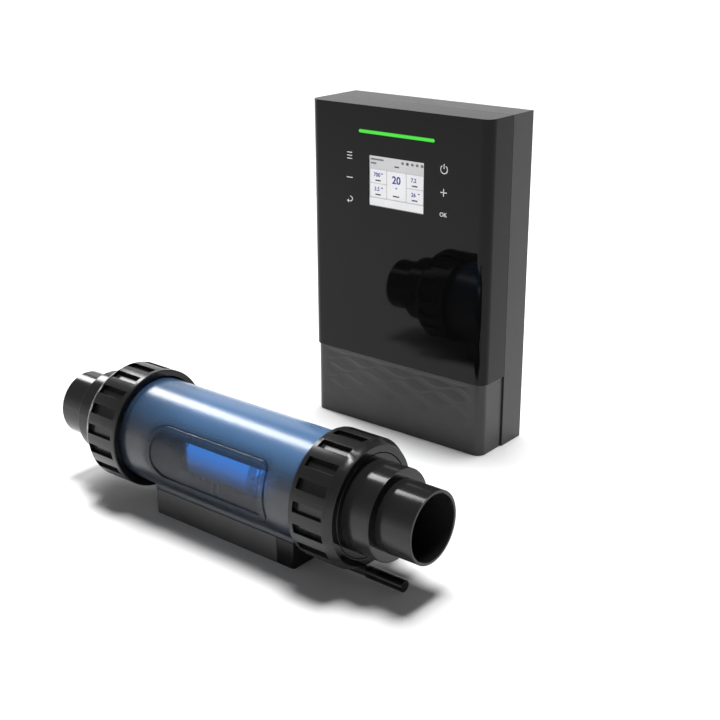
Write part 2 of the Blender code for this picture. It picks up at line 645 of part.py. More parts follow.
def build_lead(cell, mats):
    at = (0, 0, LEAD_Z - CELL_Z)
    inside = GLAND_R - 0.0015
    face = BASE_HALF_X + GAP
    steps = [(BASE_HALF_X - CAP_LEN + 0.004, inside), (face, inside), (face, GLAND_R)]
    steps += [(GLAND_END - 0.001, GLAND_R), (GLAND_END, GLAND_R - 0.001)]
    add_object("lead_gland", stepped_rod(steps, 20, "X", at), cell, mats["satin"])
    chamfer = 0.0004
    plug = [(PLUG_START, PLUG_R - 0.0008), (PLUG_START + 0.0008, PLUG_R), (PLUG_END - chamfer, PLUG_R),
            (PLUG_END, PLUG_R - chamfer)]
    add_object("lead_plug", stepped_rod(plug, 24, "X", at), cell, mats["gloss"])
    curve = bpy.data.curves.new("cell_lead", "CURVE")
    curve.dimensions = "3D"
    curve.bevel_depth = LEAD_R
    curve.bevel_resolution = 3
    curve.use_fill_caps = True
    points = lead_points()
    spline = curve.splines.new("POLY")
    spline.points.add(len(points) - 1)
    for point, place in zip(spline.points, points):
        point.co = (*place, 1)
    curve.materials.append(mats["rubber"])
    lead = bpy.data.objects.new("cell_lead", curve)
    bpy.context.collection.objects.link(lead)
    lead.parent = cell


def main():
    clear_scene()
    mats = {
        "gloss": make_material("gloss_black", (0.012, 0.012, 0.013), 0.08),
        "satin": make_material("satin_black", (0.030, 0.030, 0.032), 0.38),
        "textured": make_material("textured_black", (0.035, 0.035, 0.037), 0.50),
        "clear": make_material("clear_window", (0.60, 0.62, 0.64), 0.05, alpha=0.3),
        "screen": make_material("screen", (0.85, 0.86, 0.90), 0.30),
        "light": make_material("green_light", (0.10, 0.90, 0.12), 0.25),
        "board": make_material("circuit_board", (0.02, 0.16, 0.06), 0.45),
        "foam": make_material("touch_foam", (0.10, 0.10, 0.10), 0.80),
        "copper": make_material("winding", (0.50, 0.22, 0.08), 0.35, 0.8),
        "can": make_material("capacitor_can", (0.05, 0.07, 0.16), 0.35),
        "blue": make_material("blue_plastic", (0.03, 0.12, 0.32), 0.40),
        "aluminium": make_material("aluminium", (0.70, 0.71, 0.73), 0.35, 1.0),
        "steel": make_material("steel", (0.55, 0.55, 0.56), 0.30, 1.0),
        "rubber": make_material("rubber", (0.015, 0.015, 0.015), 0.60),
        "tinted": make_material("tinted_clear", (0.20, 0.36, 0.60), 0.12, alpha=0.4),
        "titanium": make_material("titanium", (0.16, 0.36, 0.75), 0.35, 0.6),
        "comb": make_material("comb_plastic", (0.45, 0.50, 0.56), 0.40),
    }
    box = bpy.data.objects.new("controller", None)
    box.location = (BOX_X, BOX_Y, 0)
    cell = bpy.data.objects.new("cell", None)
    cell.location = (0, CELL_Y, CELL_Z)
    for empty in (box, cell):
        bpy.context.collection.objects.link(empty)
    build_front_cover(box, mats)
    build_wiring_cover(box, mats)
    build_rear_case(box, mats)
    build_case_hardware(box, mats)
    build_panel(box, mats)
    build_power_parts(box, mats)
    build_housing(cell, mats)
    build_base(cell, mats)
    build_electrodes(cell, mats)
    build_union(cell, mats, "left", math.pi)
    build_union(cell, mats, "right", 0.0)
    build_lead(cell, mats)


main()
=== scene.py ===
# salt chlorine generator: the looks of the wall controller and of its electrolytic cell

import math

import bpy
from mathutils import Matrix, Vector


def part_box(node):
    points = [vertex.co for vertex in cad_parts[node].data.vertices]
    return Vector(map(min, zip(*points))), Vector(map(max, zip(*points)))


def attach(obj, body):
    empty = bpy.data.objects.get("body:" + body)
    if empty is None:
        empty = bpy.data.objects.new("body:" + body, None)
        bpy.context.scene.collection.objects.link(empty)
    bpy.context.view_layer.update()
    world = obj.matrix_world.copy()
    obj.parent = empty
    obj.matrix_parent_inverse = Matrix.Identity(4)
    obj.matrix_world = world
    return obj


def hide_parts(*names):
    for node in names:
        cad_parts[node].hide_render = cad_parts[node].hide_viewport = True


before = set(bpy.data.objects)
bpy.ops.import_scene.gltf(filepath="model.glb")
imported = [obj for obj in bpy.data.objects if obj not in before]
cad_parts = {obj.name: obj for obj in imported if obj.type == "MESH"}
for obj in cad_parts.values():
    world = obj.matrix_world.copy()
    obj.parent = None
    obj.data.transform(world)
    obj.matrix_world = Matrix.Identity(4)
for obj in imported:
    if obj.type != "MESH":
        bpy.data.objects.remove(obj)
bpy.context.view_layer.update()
print("frame loaded")


# ---- places read from the frame

def midOf(node):
    low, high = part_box(node)
    return (low + high) / 2


def axisOf(node, index=0):
    # the node's middle, put at zero along one axis
    centre = midOf(node)
    centre[index] = 0
    return centre


def linkNew(name, data):
    made = bpy.data.objects.new(name, data)
    bpy.context.scene.collection.objects.link(made)
    return made


caseLow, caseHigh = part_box("front_cover")
caseX = (caseLow.x + caseHigh.x) / 2
frontY = caseLow.y
cellAxis = midOf("cell_housing")
cellAxis.y = midOf("right_union_nut").y
cellAxis.z = midOf("right_union_nut").z
cellCentre = (0, cellAxis.y, cellAxis.z)


# ---- camera and lead first

cameraSettings = {
    "place": (0.7126, -0.8462, 0.5363),
    "turn": -0.6821,
    "dip": 0.3578,
    "roll": -0.0050,
    "lens": 61.55,
}


def makeCamera(settings):
    turn, dip, roll = settings["turn"], settings["dip"], settings["roll"]
    ahead = Vector((math.sin(turn) * math.cos(dip), math.cos(turn) * math.cos(dip), -math.sin(dip)))
    right = ahead.cross(Vector((0, 0, 1))).normalized()
    up = right.cross(ahead)
    rolledRight = right * math.cos(roll) + up * math.sin(roll)
    rolledUp = up * math.cos(roll) - right * math.sin(roll)
    data = bpy.data.cameras.new("camera")
    data.lens = settings["lens"]
    data.sensor_width = 36
    camera = linkNew("camera", data)
    matrix = Matrix((rolledRight, rolledUp, -ahead)).transposed().to_4x4()
    matrix.translation = Vector(settings["place"])
    camera.matrix_world = matrix
    bpy.context.scene.camera = camera


makeCamera(cameraSettings)
print("camera set")


# ---- materials

class Value:
    # a shader socket that takes Python arithmetic
    def __init__(self, finish, socket):
        self.finish = finish
        self.socket = socket

    def math(self, operation, *others):
        values = dict(enumerate((self,) + others))
        return self.finish.add("Math", {"operation": operation}, values)

    def __add__(self, other):
        return self.math("ADD", other)

    def __mul__(self, other):
        return self.math("MULTIPLY", other)

    def __sub__(self, other):
        return self.math("SUBTRACT", other)

    def __pow__(self, other):
        return self.math("POWER", other)

    def __rsub__(self, other):
        return self.finish.add("Math", {"operation": "SUBTRACT"}, {0: other, 1: self})

    __radd__ = __add__
    __rmul__ = __mul__

    def clamped(self):
        return self.finish.add("Clamp", {}, {0: self})

    def between(self, low, high, start=0.0, end=1.0):
        # smooth step from start to end as the value goes from low to high
        settings = {"interpolation_type": "SMOOTHSTEP"}
        return self.finish.add("MapRange", settings, {0: self, 1: low, 2: high, 3: start, 4: end})


class Finish:
    # a Principled material: fixed numbers go on its sockets, varying ones are linked
    def __init__(self, name, fixed=None):
        self.material = bpy.data.materials.new(name)
        self.material.use_nodes = True
        self.tree = self.material.node_tree
        self.shader = self.tree.nodes["Principled BSDF"]
        for key, value in (fixed or {}).items():
            self.putOn(key, value)

    def put(self, socket, value):
        if isinstance(value, Value):
            self.tree.links.new(value.socket, socket)
        elif isinstance(value, (tuple, list)) and len(value) == 3 and socket.type == "RGBA":
            socket.default_value = (*value, 1.0)
        else:
            socket.default_value = value

    def add(self, kind, settings=None, values=None, out=0):
        node = self.tree.nodes.new("ShaderNode" + kind)
        for key, value in (settings or {}).items():
            setattr(node, key, value)
        for key, value in (values or {}).items():
            self.put(node.inputs[key], value)
        return Value(self, node.outputs[out])

    def putOn(self, key, value):
        self.put(self.shader.inputs[key], value)

    def coordinates(self, shift=(0, 0, 0), scale=(1, 1, 1)):
        texture = self.add("TexCoord", out="Object")
        return self.add("Mapping", {}, {"Vector": texture, "Location": shift, "Scale": scale})

    def parts(self, vector):
        node = self.tree.nodes.new("ShaderNodeSeparateXYZ")
        self.put(node.inputs[0], vector)
        return [Value(self, node.outputs[k]) for k in range(3)]

    def noise(self, scale, detail=3.0, rough=0.55, stretch=(1, 1, 1)):
        place = self.coordinates(scale=stretch)
        values = {"Vector": place, "Scale": scale, "Detail": detail, "Roughness": rough}
        return self.add("TexNoise", {}, values)

    def blend(self, factor, first, second):
        values = {0: factor, 6: color(first), 7: color(second)}
        return self.add("Mix", {"data_type": "RGBA"}, values, out=2)

    def paint(self, factor, first, second, key="Base Color"):
        self.putOn(key, self.blend(factor, first, second))

    def bump(self, height, distance):
        self.putOn("Normal", self.add("Bump", {}, {"Height": height, "Distance": distance, "Strength": 1.0}))


def color(value):
    return value if isinstance(value, Value) else (*value[:3], 1.0)


def shade(tone, factor):
    return tuple(c * factor for c in tone)


def polishedEndsPaintedShade(finish, roughness, tone):
    # faces square to the flow axis come from a polished part of the mould; their darker colour is painted
    # shade
    normal = finish.add("TexCoord", out="Normal")
    endFaceShade = finish.parts(normal)[0].math("ABSOLUTE").between(0.90, 0.98)
    # painted shade: faces square to the flow axis are turned darker
    finish.paint(endFaceShade, tone, shade(tone, 0.30))
    return roughness + endFaceShade * (0.03 - roughness)


def mouldedPlastic(name, tone, roughness, ior, grain=0.0, grainScale=1500, smudge=0.03, ends=False):
    # moulded plastic: faint flow marks in tone, handled patches in gloss, spark-eroded grain in relief; with
    # ends, painted shade on the end faces
    finish = Finish(name, {"IOR": ior})
    flow = finish.noise(9, 4, 0.6, (1, 1, 0.35))
    finish.paint(flow.between(0.35, 0.65), shade(tone, 0.85), shade(tone, 1.15))
    patches = finish.noise(26, 5, 0.65)
    gloss = polishedEndsPaintedShade(finish, roughness, tone) if ends else roughness
    finish.putOn("Roughness", gloss + (patches - 0.5) * smudge * 2)
    if grain:
        finish.bump(finish.noise(grainScale, 2, 0.6), grain)
    return finish.material


def brushedMetal(name, tone, roughness, stretch=(1, 1, 1), scale=400):
    finish = Finish(name, {"Metallic": 1.0})
    lines = finish.noise(scale, 4, 0.7, stretch)
    finish.paint(lines, shade(tone, 0.82), tone)
    finish.putOn("Roughness", roughness + (lines - 0.5) * 0.16)
    finish.bump(lines, 0.00002)
    return finish.material


def tintedTube():
    # blue frosted tube: clearer inside the moulded frame, denser round the back and at the threads; painted
    # light makes it lighter at the top and darker to the left, and painted shade darkens the threads and the
    # frame's edges
    finish = Finish("tintedTube", {"IOR": 1.62})
    place = finish.coordinates(shift=shade(cellAxis, -1))
    x, y, z = finish.parts(place)
    frost = finish.noise(34, 4, 0.6)
    bands = finish.noise(14, 3, 0.5, (0.25, 1, 1))
    tilt = math.radians(tubeFrame["tilt"])
    across = z * math.cos(tilt) + y * math.sin(tilt)
    front = (y * -1.0).between(0.0, 0.008)
    corner = x.between(-0.001, 0.001, tubeFrame["leftCorner"], tubeFrame["rightCorner"])
    outX = x.math("ABSOLUTE") - tubeFrame["halfX"] + corner
    outZ = across.math("ABSOLUTE") - tubeFrame["halfZ"] + corner
    reach = (outX.math("MAXIMUM", 0.0) ** 2 + outZ.math("MAXIMUM", 0.0) ** 2).math("SQRT")
    reach = reach + outX.math("MAXIMUM", outZ).math("MINIMUM", 0.0) - corner
    # painted shade: dark lines along the frame's outer and inner edges
    outerEdgeShade = reach.math("ABSOLUTE").between(0.0004, 0.0013, 1, 0)
    innerEdgeShade = (reach + tubeFrame["width"]).math("ABSOLUTE").between(0.0004, 0.0013, 1, 0)
    line = (outerEdgeShade + innerEdgeShade * 0.8) * front
    window = reach.between(-0.010, 0.010, 1, 0) * front
    # painted shade: dark rings on the tube at the threads, next to the nuts
    ends = x.math("ABSOLUTE").between(0.0990, 0.1010)
    threadRingShade = ((x.math("ABSOLUTE") * 3400).math("SINE")).between(-0.2, 0.5) * ends
    # painted light and shade: lighter towards the top, darker to the left, varied by random bands; the dark
    # tone stands for the shaded lower tube, the blue one for the lit top
    paintedLight = z.between(0.013, 0.050) * bands.between(0.2, 0.8, 0.75, 1.15)
    paintedLight = paintedLight * x.between(-0.115, -0.020, 0.45, 1.0)
    tone = finish.blend(paintedLight.clamped(), (0.021, 0.029, 0.042), (0.082, 0.182, 0.360))
    # painted shade: the frame's edge lines and the thread rings darken the tube
    tone = finish.blend((line * 0.75 + threadRingShade * 0.85).clamped(), tone, (0.006, 0.010, 0.018))
    finish.putOn("Base Color", tone)
    dense = 0.84 + (frost - 0.5) * 0.06
    finish.putOn("Alpha", (dense - window * 0.50 + line * 0.22 + threadRingShade * 0.2).clamped())
    finish.putOn("Roughness", 0.24 + (frost - 0.5) * 0.08 - window * 0.10)
    finish.bump(finish.noise(900, 2, 0.6, (0.03, 1, 1)), 0.00001)
    return finish.material


tubeFrame = {
    "halfX": 0.0725, "halfZ": 0.0275, "width": 0.0065, "leftCorner": 0.0245, "rightCorner": 0.0080,
    "rise": 0.0013, "tilt": 4.5,
}


def titaniumPlate():
    # coated expanded plate; brightest along its upper edge and fading downwards, with a glow, all painted
    # light
    finish = Finish("titaniumPlate", {"Metallic": 0.25})
    place = finish.coordinates(shift=shade(cellAxis, -1))
    x, y, z = finish.parts(place)
    # painted light: a mask brightest at the plate's upper edge, fading downwards
    fade = z.between(-0.026, 0.004) * (y * -1.0).between(0.0150, 0.0158)
    fade = fade * x.between(-0.056, -0.050)
    cloud = finish.noise(60, 4, 0.6)
    finish.paint(fade, (0.010, 0.035, 0.085), (0.05, 0.24, 0.75))
    # painted light: the plate glows though it is no lamp
    paintedLight = finish.blend(fade * (0.85 + cloud * 0.3), (0.001, 0.003, 0.008), (0.045, 0.27, 0.95))
    finish.putOn("Emission Color", paintedLight)
    finish.putOn("Emission Strength", 1.15)
    finish.putOn("Roughness", 0.35 + (cloud - 0.5) * 0.2)
    weave = (x * 2600).math("SINE") * (z * 4200).math("SINE")
    finish.bump(weave, 0.00008)
    return finish.material


def clearPlastic(name, tone):
    finish = Finish(name, {"Roughness": 0.3, "IOR": 1.3})
    cloud = finish.noise(60, 3, 0.5)
    finish.paint(cloud, tone, shade(tone, 1.3))
    finish.putOn("Alpha", 0.20 + cloud * 0.08)
    return finish.material


def litPlastic(name, tone, strength, base=(0.02, 0.02, 0.02)):
    # a lit face with a slightly uneven backlight
    finish = Finish(name, {"Base Color": base, "Roughness": 0.35})
    uneven = finish.noise(22, 2, 0.5)
    finish.paint(uneven.between(0.3, 0.7), shade(tone, 0.93), tone, key="Emission Color")
    finish.putOn("Emission Strength", strength)
    return finish.material


def printedInkPaintedGlow(name, tone):
    finish = Finish(name, {"Roughness": 0.55})
    speckle = finish.noise(900, 2, 0.5)
    finish.paint(speckle, shade(tone, 0.9), tone)
    # painted light: the printed marks glow faintly though they are no lamp
    finish.paint(speckle, shade(tone, 0.9), tone, key="Emission Color")
    finish.putOn("Emission Strength", 0.25)
    return finish.material


def clearLens():
    finish = Finish("clearLens", {"IOR": 1.38})
    haze = finish.noise(30, 3, 0.5)
    finish.paint(haze, (0.01, 0.01, 0.012), (0.03, 0.03, 0.034))
    finish.putOn("Alpha", 0.08 + haze * 0.02)
    finish.putOn("Roughness", 0.03 + haze * 0.02)
    return finish.material


def circuitBoard():
    finish = Finish("circuitBoard")
    place = finish.coordinates()
    x, _, z = finish.parts(place)
    tracks = ((x * 900).math("SINE") * (z * 700).math("SINE")).between(0.55, 0.62)
    mottled = finish.noise(180, 3, 0.6)
    green = finish.blend(mottled, (0.008, 0.07, 0.03), (0.014, 0.11, 0.045))
    finish.paint(tracks * 0.7, green, (0.03, 0.20, 0.08))
    finish.putOn("Roughness", 0.42 - tracks * 0.12)
    finish.bump(tracks, 0.00003)
    return finish.material


def copperWinding():
    # enamelled wire laid side by side round the ring; the darker stripes between turns are painted shade
    finish = Finish("copperWinding", {"Metallic": 0.7})
    centre = midOf("toroid_transformer")
    x, _, z = finish.parts(finish.coordinates(shift=shade(centre, -1)))
    turns = (z.math("ARCTAN2", x) * 90).math("SINE")
    # painted shade: darker stripes in the grooves between the turns
    finish.paint(turns.between(-1, 1), (0.20, 0.06, 0.015), (0.62, 0.27, 0.09))
    finish.putOn("Roughness", 0.32 + finish.noise(80, 3, 0.6) * 0.1)
    finish.bump(turns, 0.0002)
    return finish.material


def matteRubber():
    finish = Finish("matteRubber")
    bloom = finish.noise(45, 5, 0.7)
    finish.paint(bloom, (0.008, 0.008, 0.008), (0.018, 0.018, 0.018))
    finish.putOn("Roughness", 0.48 + bloom * 0.15)
    finish.bump(finish.noise(1400, 2, 0.6), 0.00002)
    return finish.material


def floorFinish():
    finish = Finish("floorFinish", {"Roughness": 0.9})
    paper = finish.noise(3, 2, 0.5)
    finish.paint(paper, (0.90, 0.90, 0.90), (0.92, 0.92, 0.92))
    return finish.material


finishes = {
    "gloss": mouldedPlastic("glossBlack", (0.0036, 0.0036, 0.0038), 0.035, 1.27, smudge=0.008),
    # the tail and nut get painted shade on their faces square to the flow axis
    "tail": mouldedPlastic("pipeBlack", (0.016, 0.016, 0.0165), 0.17, 1.40, smudge=0.03, ends=True),
    "nut": mouldedPlastic("nutBlack", (0.016, 0.016, 0.0165), 0.24, 1.40, 0.00001, smudge=0.04, ends=True),
    "satin": mouldedPlastic("satinBlack", (0.024, 0.024, 0.0245), 0.36, 1.42, grain=0.00002, smudge=0.05),
    "wave": mouldedPlastic("waveBlack", (0.034, 0.034, 0.0345), 0.34, 1.42, grain=0.000015, smudge=0.04),
    "base": mouldedPlastic("baseBlack", (0.060, 0.060, 0.061), 0.42, 1.42, grain=0.00002, smudge=0.05),
    "cap": mouldedPlastic("capBlack", (0.006, 0.006, 0.0062), 0.20, 1.40, smudge=0.03),
    "rubber": matteRubber(),
    "tube": tintedTube(),
    "plate": titaniumPlate(),
    "comb": clearPlastic("combPlastic", (0.02, 0.05, 0.10)),
    "lens": clearLens(),
    "screen": litPlastic("screenFace", (0.62, 0.62, 0.64), 1.0),
    "tile": litPlastic("screenTile", (0.96, 0.96, 0.98), 1.0),
    "header": litPlastic("screenHeader", (0.70, 0.70, 0.71), 1.0),
    "faintMarks": litPlastic("faintMarks", (0.17, 0.17, 0.19), 1.0),
    "blueMarks": litPlastic("blueMarks", (0.12, 0.15, 0.50), 1.0),
    "digits": litPlastic("screenDigits", (0.022, 0.030, 0.34), 1.0),
    "smallMarks": litPlastic("screenMarks", (0.035, 0.035, 0.045), 1.0),
    "ink": printedInkPaintedGlow("printedWhitePaintedGlow", (0.75, 0.75, 0.76)),
    "green": litPlastic("greenLight", (0.035, 0.68, 0.018), 1.0, (0.02, 0.12, 0.02)),
    "board": circuitBoard(),
    "foam": mouldedPlastic("touchFoam", (0.05, 0.05, 0.05), 0.8, 1.45, grain=0.0001, grainScale=700),
    "copper": copperWinding(),
    "can": mouldedPlastic("canSleeve", (0.02, 0.03, 0.09), 0.30, 1.5, smudge=0.05),
    "blue": mouldedPlastic("bluePlastic", (0.02, 0.08, 0.24), 0.42, 1.45, grain=0.00002),
    "aluminium": brushedMetal("aluminium", (0.72, 0.73, 0.75), 0.32, (1, 1, 0.05)),
    "steel": brushedMetal("steel", (0.56, 0.56, 0.58), 0.28),
}
print("materials made")


# ---- modelling helpers

def deselectAll():
    if bpy.context.object and bpy.context.object.mode != "OBJECT":
        bpy.ops.object.mode_set(mode="OBJECT")
    bpy.ops.object.select_all(action="DESELECT")


def activate(piece):
    deselectAll()
    piece.select_set(True)
    bpy.context.view_layer.objects.active = piece


def settle(piece):
    activate(piece)
    bpy.ops.object.transform_apply(location=True, rotation=True, scale=True)


def withModifier(piece, kind, **settings):
    # adds a modifier, sets it and applies it at once
    activate(piece)
    modifier = piece.modifiers.new(kind.lower(), kind)
    for key, value in settings.items():
        setattr(modifier, key, value)
    bpy.ops.object.modifier_apply(modifier=modifier.name)


def softenEdges(piece, width, segments=2, angle=35):
    withModifier(piece, "BEVEL", width=width, segments=segments, limit_method="ANGLE",
                 angle_limit=math.radians(angle), harden_normals=False)


def clearChoice(piece, kind):
    activate(piece)
    bpy.ops.object.mode_set(mode="EDIT")
    bpy.ops.mesh.select_mode(type=kind)
    bpy.ops.mesh.select_all(action="DESELECT")
    bpy.ops.object.mode_set(mode="OBJECT")


def chooseFaces(piece, wanted):
    # edit mode with only the faces that pass the test selected; wanted gets centre and normal
    clearChoice(piece, "FACE")
    for face in piece.data.polygons:
        face.select = bool(wanted(face.center, face.normal))
    bpy.ops.object.mode_set(mode="EDIT")


def chooseEdges(piece, wanted):
    # edit mode with only the edges that pass the test selected; wanted gets the two ends
    clearChoice(piece, "EDGE")
    corners = piece.data.vertices
    for edge in piece.data.edges:
        edge.select = bool(wanted(corners[edge.vertices[0]].co, corners[edge.vertices[1]].co))
    bpy.ops.object.mode_set(mode="EDIT")


def leaveEdit():
    bpy.ops.object.mode_set(mode="OBJECT")


def roundEdges(piece, wanted, radius, segments):
    chooseEdges(piece, wanted)
    bpy.ops.mesh.bevel(offset=radius, segments=segments, affect="EDGES")
    leaveEdit()


def editAll(piece):
    # edit mode with everything selected
    activate(piece)
    bpy.ops.object.mode_set(mode="EDIT")
    bpy.ops.mesh.select_all(action="SELECT")


def outwards(piece):
    editAll(piece)
    bpy.ops.mesh.remove_doubles(threshold=0.000001)
    bpy.ops.mesh.normals_make_consistent(inside=False)
    leaveEdit()


def blockPiece(name, low, high):
    deselectAll()
    middle = (Vector(low) + Vector(high)) / 2
    bpy.ops.mesh.primitive_cube_add(size=1, location=middle)
    piece = bpy.context.object
    piece.name = name
    piece.scale = Vector(high) - Vector(low)
    settle(piece)
    return piece


def turnedPiece(name, profile, centre, axis="X", segments=96, closed=True):
    # a circle drawn out along a profile of (along, radius) points, as on a lathe
    deselectAll()
    along, radius = profile[0]
    turn = {"X": (0, math.pi / 2, 0), "Y": (math.pi / 2, 0, 0), "Z": (0, 0, 0)}[axis]
    unit = {"X": Vector((1, 0, 0)), "Y": Vector((0, 1, 0)), "Z": Vector((0, 0, 1))}[axis]
    centre = Vector(centre)
    place = centre + unit * along
    bpy.ops.mesh.primitive_circle_add(vertices=segments, radius=radius, location=place, rotation=turn)
    piece = bpy.context.object
    piece.name = name
    settle(piece)
    editAll(piece)
    for nextAlong, nextRadius in profile[1:]:
        step = unit * (nextAlong - along)
        bpy.ops.mesh.extrude_region_move(TRANSFORM_OT_translate={"value": step})
        if nextRadius != radius:
            value = [nextRadius / radius] * 3
            value["XYZ".index(axis)] = 1.0
            bpy.ops.transform.resize(value=value, center_override=centre + unit * nextAlong)
        along, radius = nextAlong, nextRadius
    bpy.ops.mesh.select_all(action="DESELECT")
    bpy.ops.mesh.select_mode(type="EDGE")
    bpy.ops.mesh.select_non_manifold()
    if closed:
        bpy.ops.mesh.bridge_edge_loops()
    else:
        bpy.ops.mesh.fill_holes(sides=0)
    leaveEdit()
    outwards(piece)
    return piece


def fromEnds(low, high, near, far):
    # a profile given as distances from its two ends, with a radius at each
    first = [(low + along, radius) for along, radius in near]
    return first + [(high - along, radius) for along, radius in far]


def torusPiece(name, centre, segments, radii, turn):
    deselectAll()
    (about, across), (major, minor) = segments, radii
    bpy.ops.mesh.primitive_torus_add(major_segments=about, minor_segments=across, major_radius=major,
                                     minor_radius=minor, location=centre, rotation=turn)
    piece = bpy.context.object
    piece.name = name
    settle(piece)
    return piece


def cutWith(piece, tool, operation="DIFFERENCE"):
    withModifier(piece, "BOOLEAN", operation=operation, solver="EXACT", object=tool)
    bpy.data.objects.remove(tool, do_unlink=True)


def joinPieces(name, group):
    deselectAll()
    for piece in group:
        piece.select_set(True)
    bpy.context.view_layer.objects.active = group[0]
    bpy.ops.object.join()
    joined = bpy.context.object
    joined.name = name
    return joined


def hand(piece, finish, body="generator", nodes=(), angle=30, flats=True):
    # shade, paint and hang a finished piece on the frame
    activate(piece)
    bpy.ops.object.shade_smooth_by_angle(angle=math.radians(angle))
    if flats:
        withModifier(piece, "WEIGHTED_NORMAL", keep_sharp=True)
    piece.data.materials.clear()
    piece.data.materials.append(finishes[finish])
    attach(piece, body)
    if nodes:
        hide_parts(*nodes)
    return piece


def roundedBlock(name, low, high, width=0.0004, segments=3):
    piece = blockPiece(name, low, high)
    softenEdges(piece, width, segments)
    return piece


def copyOfNode(node, name, width=0.0003, segments=2, angle=35):
    # a CAD node's own shape with its edges eased
    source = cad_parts[node]
    piece = linkNew(name, source.data.copy())
    editAll(piece)
    bpy.ops.mesh.remove_doubles(threshold=0.000005)
    bpy.ops.mesh.dissolve_limited(angle_limit=math.radians(1.0))
    leaveEdit()
    if width:
        softenEdges(piece, width, segments, angle)
    return piece


# ---- the lead and its plug

leadSettings = {"steps": 5, "sag": 0.0006, "diameter": 0.009, "height": 0.0070}


def makeLead(settings):
    y = midOf("lead_plug").y
    start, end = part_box("cell_lead")[0].x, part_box("cell_lead")[1].x
    places = []
    for k in range(settings["steps"] + 1):
        share = k / settings["steps"]
        drop = settings["sag"] * math.sin(math.pi * share)
        places.append((start + (end - start) * share, y, settings["height"] - drop))
    curve = bpy.data.curves.new("cellLead", "CURVE")
    curve.dimensions = "3D"
    curve.bevel_depth = settings["diameter"] / 2
    curve.bevel_resolution = 8
    curve.use_fill_caps = True
    spline = curve.splines.new("POLY")
    spline.points.add(len(places) - 1)
    for point, place in zip(spline.points, places):
        point.co = (*place, 1)
    curve.materials.append(finishes["rubber"])
    lead = linkNew("cellLead", curve)
    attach(lead, "generator")
    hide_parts("cell_lead")
    length = sum(math.dist(a, b) for a, b in zip(places, places[1:]))
    return lead, places[0], length


plugSettings = {
    "radius": 0.005456, "ribs": 5, "firstRib": 0.0022, "ribPitch": 0.0022, "ribDepth": 0.0004,
    "nose": 0.0008, "chamfer": 0.0005,
}


def makePlug(settings):
    low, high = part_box("lead_plug")
    radius = settings["radius"]
    valley, chamfer, nose = radius - settings["ribDepth"], settings["chamfer"], settings["nose"]
    profile = [(low.x, radius - nose), (low.x + nose, radius)]
    for rib in range(settings["ribs"]):
        at = low.x + settings["firstRib"] + rib * settings["ribPitch"]
        profile += [(at, radius), (at + 0.0003, valley), (at + 0.0010, valley), (at + 0.0013, radius)]
    profile += [(high.x - chamfer, radius), (high.x, radius - chamfer)]
    plug = turnedPiece("leadPlug", profile, axisOf("lead_plug"), segments=64, closed=False)
    return hand(plug, "cap", nodes=("lead_plug",))


glandSettings = {
    "neck": 0.0048, "nut": 0.0062, "gap": 0.0003, "end": ((0.0010, 0.0062), (0.0003, 0.0056), (0, 0.0049)),
}


def makeGland(settings):
    low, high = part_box("lead_gland")
    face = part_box("base_end_cap")[1].x + settings["gap"]
    profile = [(low.x, settings["neck"]), (face, settings["neck"]), (face, settings["nut"])]
    profile += fromEnds(0, high.x, (), settings["end"])
    gland = turnedPiece("leadGland", profile, axisOf("lead_gland"), segments=64, closed=False)
    return hand(gland, "satin", nodes=("lead_gland",))


lead, leadExit, leadLength = makeLead(leadSettings)
leadPlug = makePlug(plugSettings)
makeGland(glandSettings)
print("lead, plug and gland made")


# ---- controller case

coverSettings = {"wall": 0.0025, "corner": 0.0108, "steps": 14, "edge": 0.0005}


def openShell(name, low, high, corner, steps, wall):
    # a box with rounded upright front edges, open at the back
    piece = blockPiece(name, low, high)
    roundEdges(piece, lambda a, b: abs(a.z - b.z) > 0.01 and max(a.y, b.y) < low[1] + 0.001, corner, steps)
    chooseFaces(piece, lambda c, n: n.y > 0.9)
    bpy.ops.mesh.delete(type="FACE")
    leaveEdit()
    withModifier(piece, "SOLIDIFY", thickness=wall, offset=-1, use_even_offset=True)
    return piece


def makeFrontCover(settings):
    corner, steps, wall = settings["corner"], settings["steps"], settings["wall"]
    piece = openShell("frontCover", caseLow, caseHigh, corner, steps, wall)
    lensLow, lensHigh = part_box("display_window")
    clear = Vector((0.0003, 0.004, 0.0003))
    cutWith(piece, blockPiece("windowTool", lensLow - clear, lensHigh + clear))
    cutWith(piece, stadium("slotTool", *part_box("status_light_bar"), 0.0003, 0.004))
    softenEdges(piece, settings["edge"], 3, 40)
    return hand(piece, "gloss", nodes=("front_cover",))


def stadium(name, low, high, grow=0.0, reach=0.0):
    # a bar with fully rounded ends, lying along X
    half = (high.z - low.z) / 2 + grow
    side = Vector((grow, reach, grow))
    bar = blockPiece(name, low - side, high + side)
    roundEdges(bar, lambda a, b: abs(a.y - b.y) > 0.001, half * 0.995, 10)
    return bar


def makeLightBar():
    low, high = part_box("status_light_bar")
    bar = stadium("statusLightBar", low + Vector((0, 0.0001, 0)), high)
    softenEdges(bar, 0.0002, 2, 50)
    return hand(bar, "green", nodes=("status_light_bar",))


waveSettings = {
    "pillowLength": 0.0492, "rowPitch": 0.0101, "topRow": 0.0687, "halfHeight": 0.0064, "depth": 0.0009,
    "step": 0.0011, "wall": 0.0022, "corner": 0.0090, "lean": 0.0016,
    "fadeBelow": (0.008, 0.040), "fadeAbove": (0.0725, 0.0755), "fadeAside": (0.086, 0.099),
}


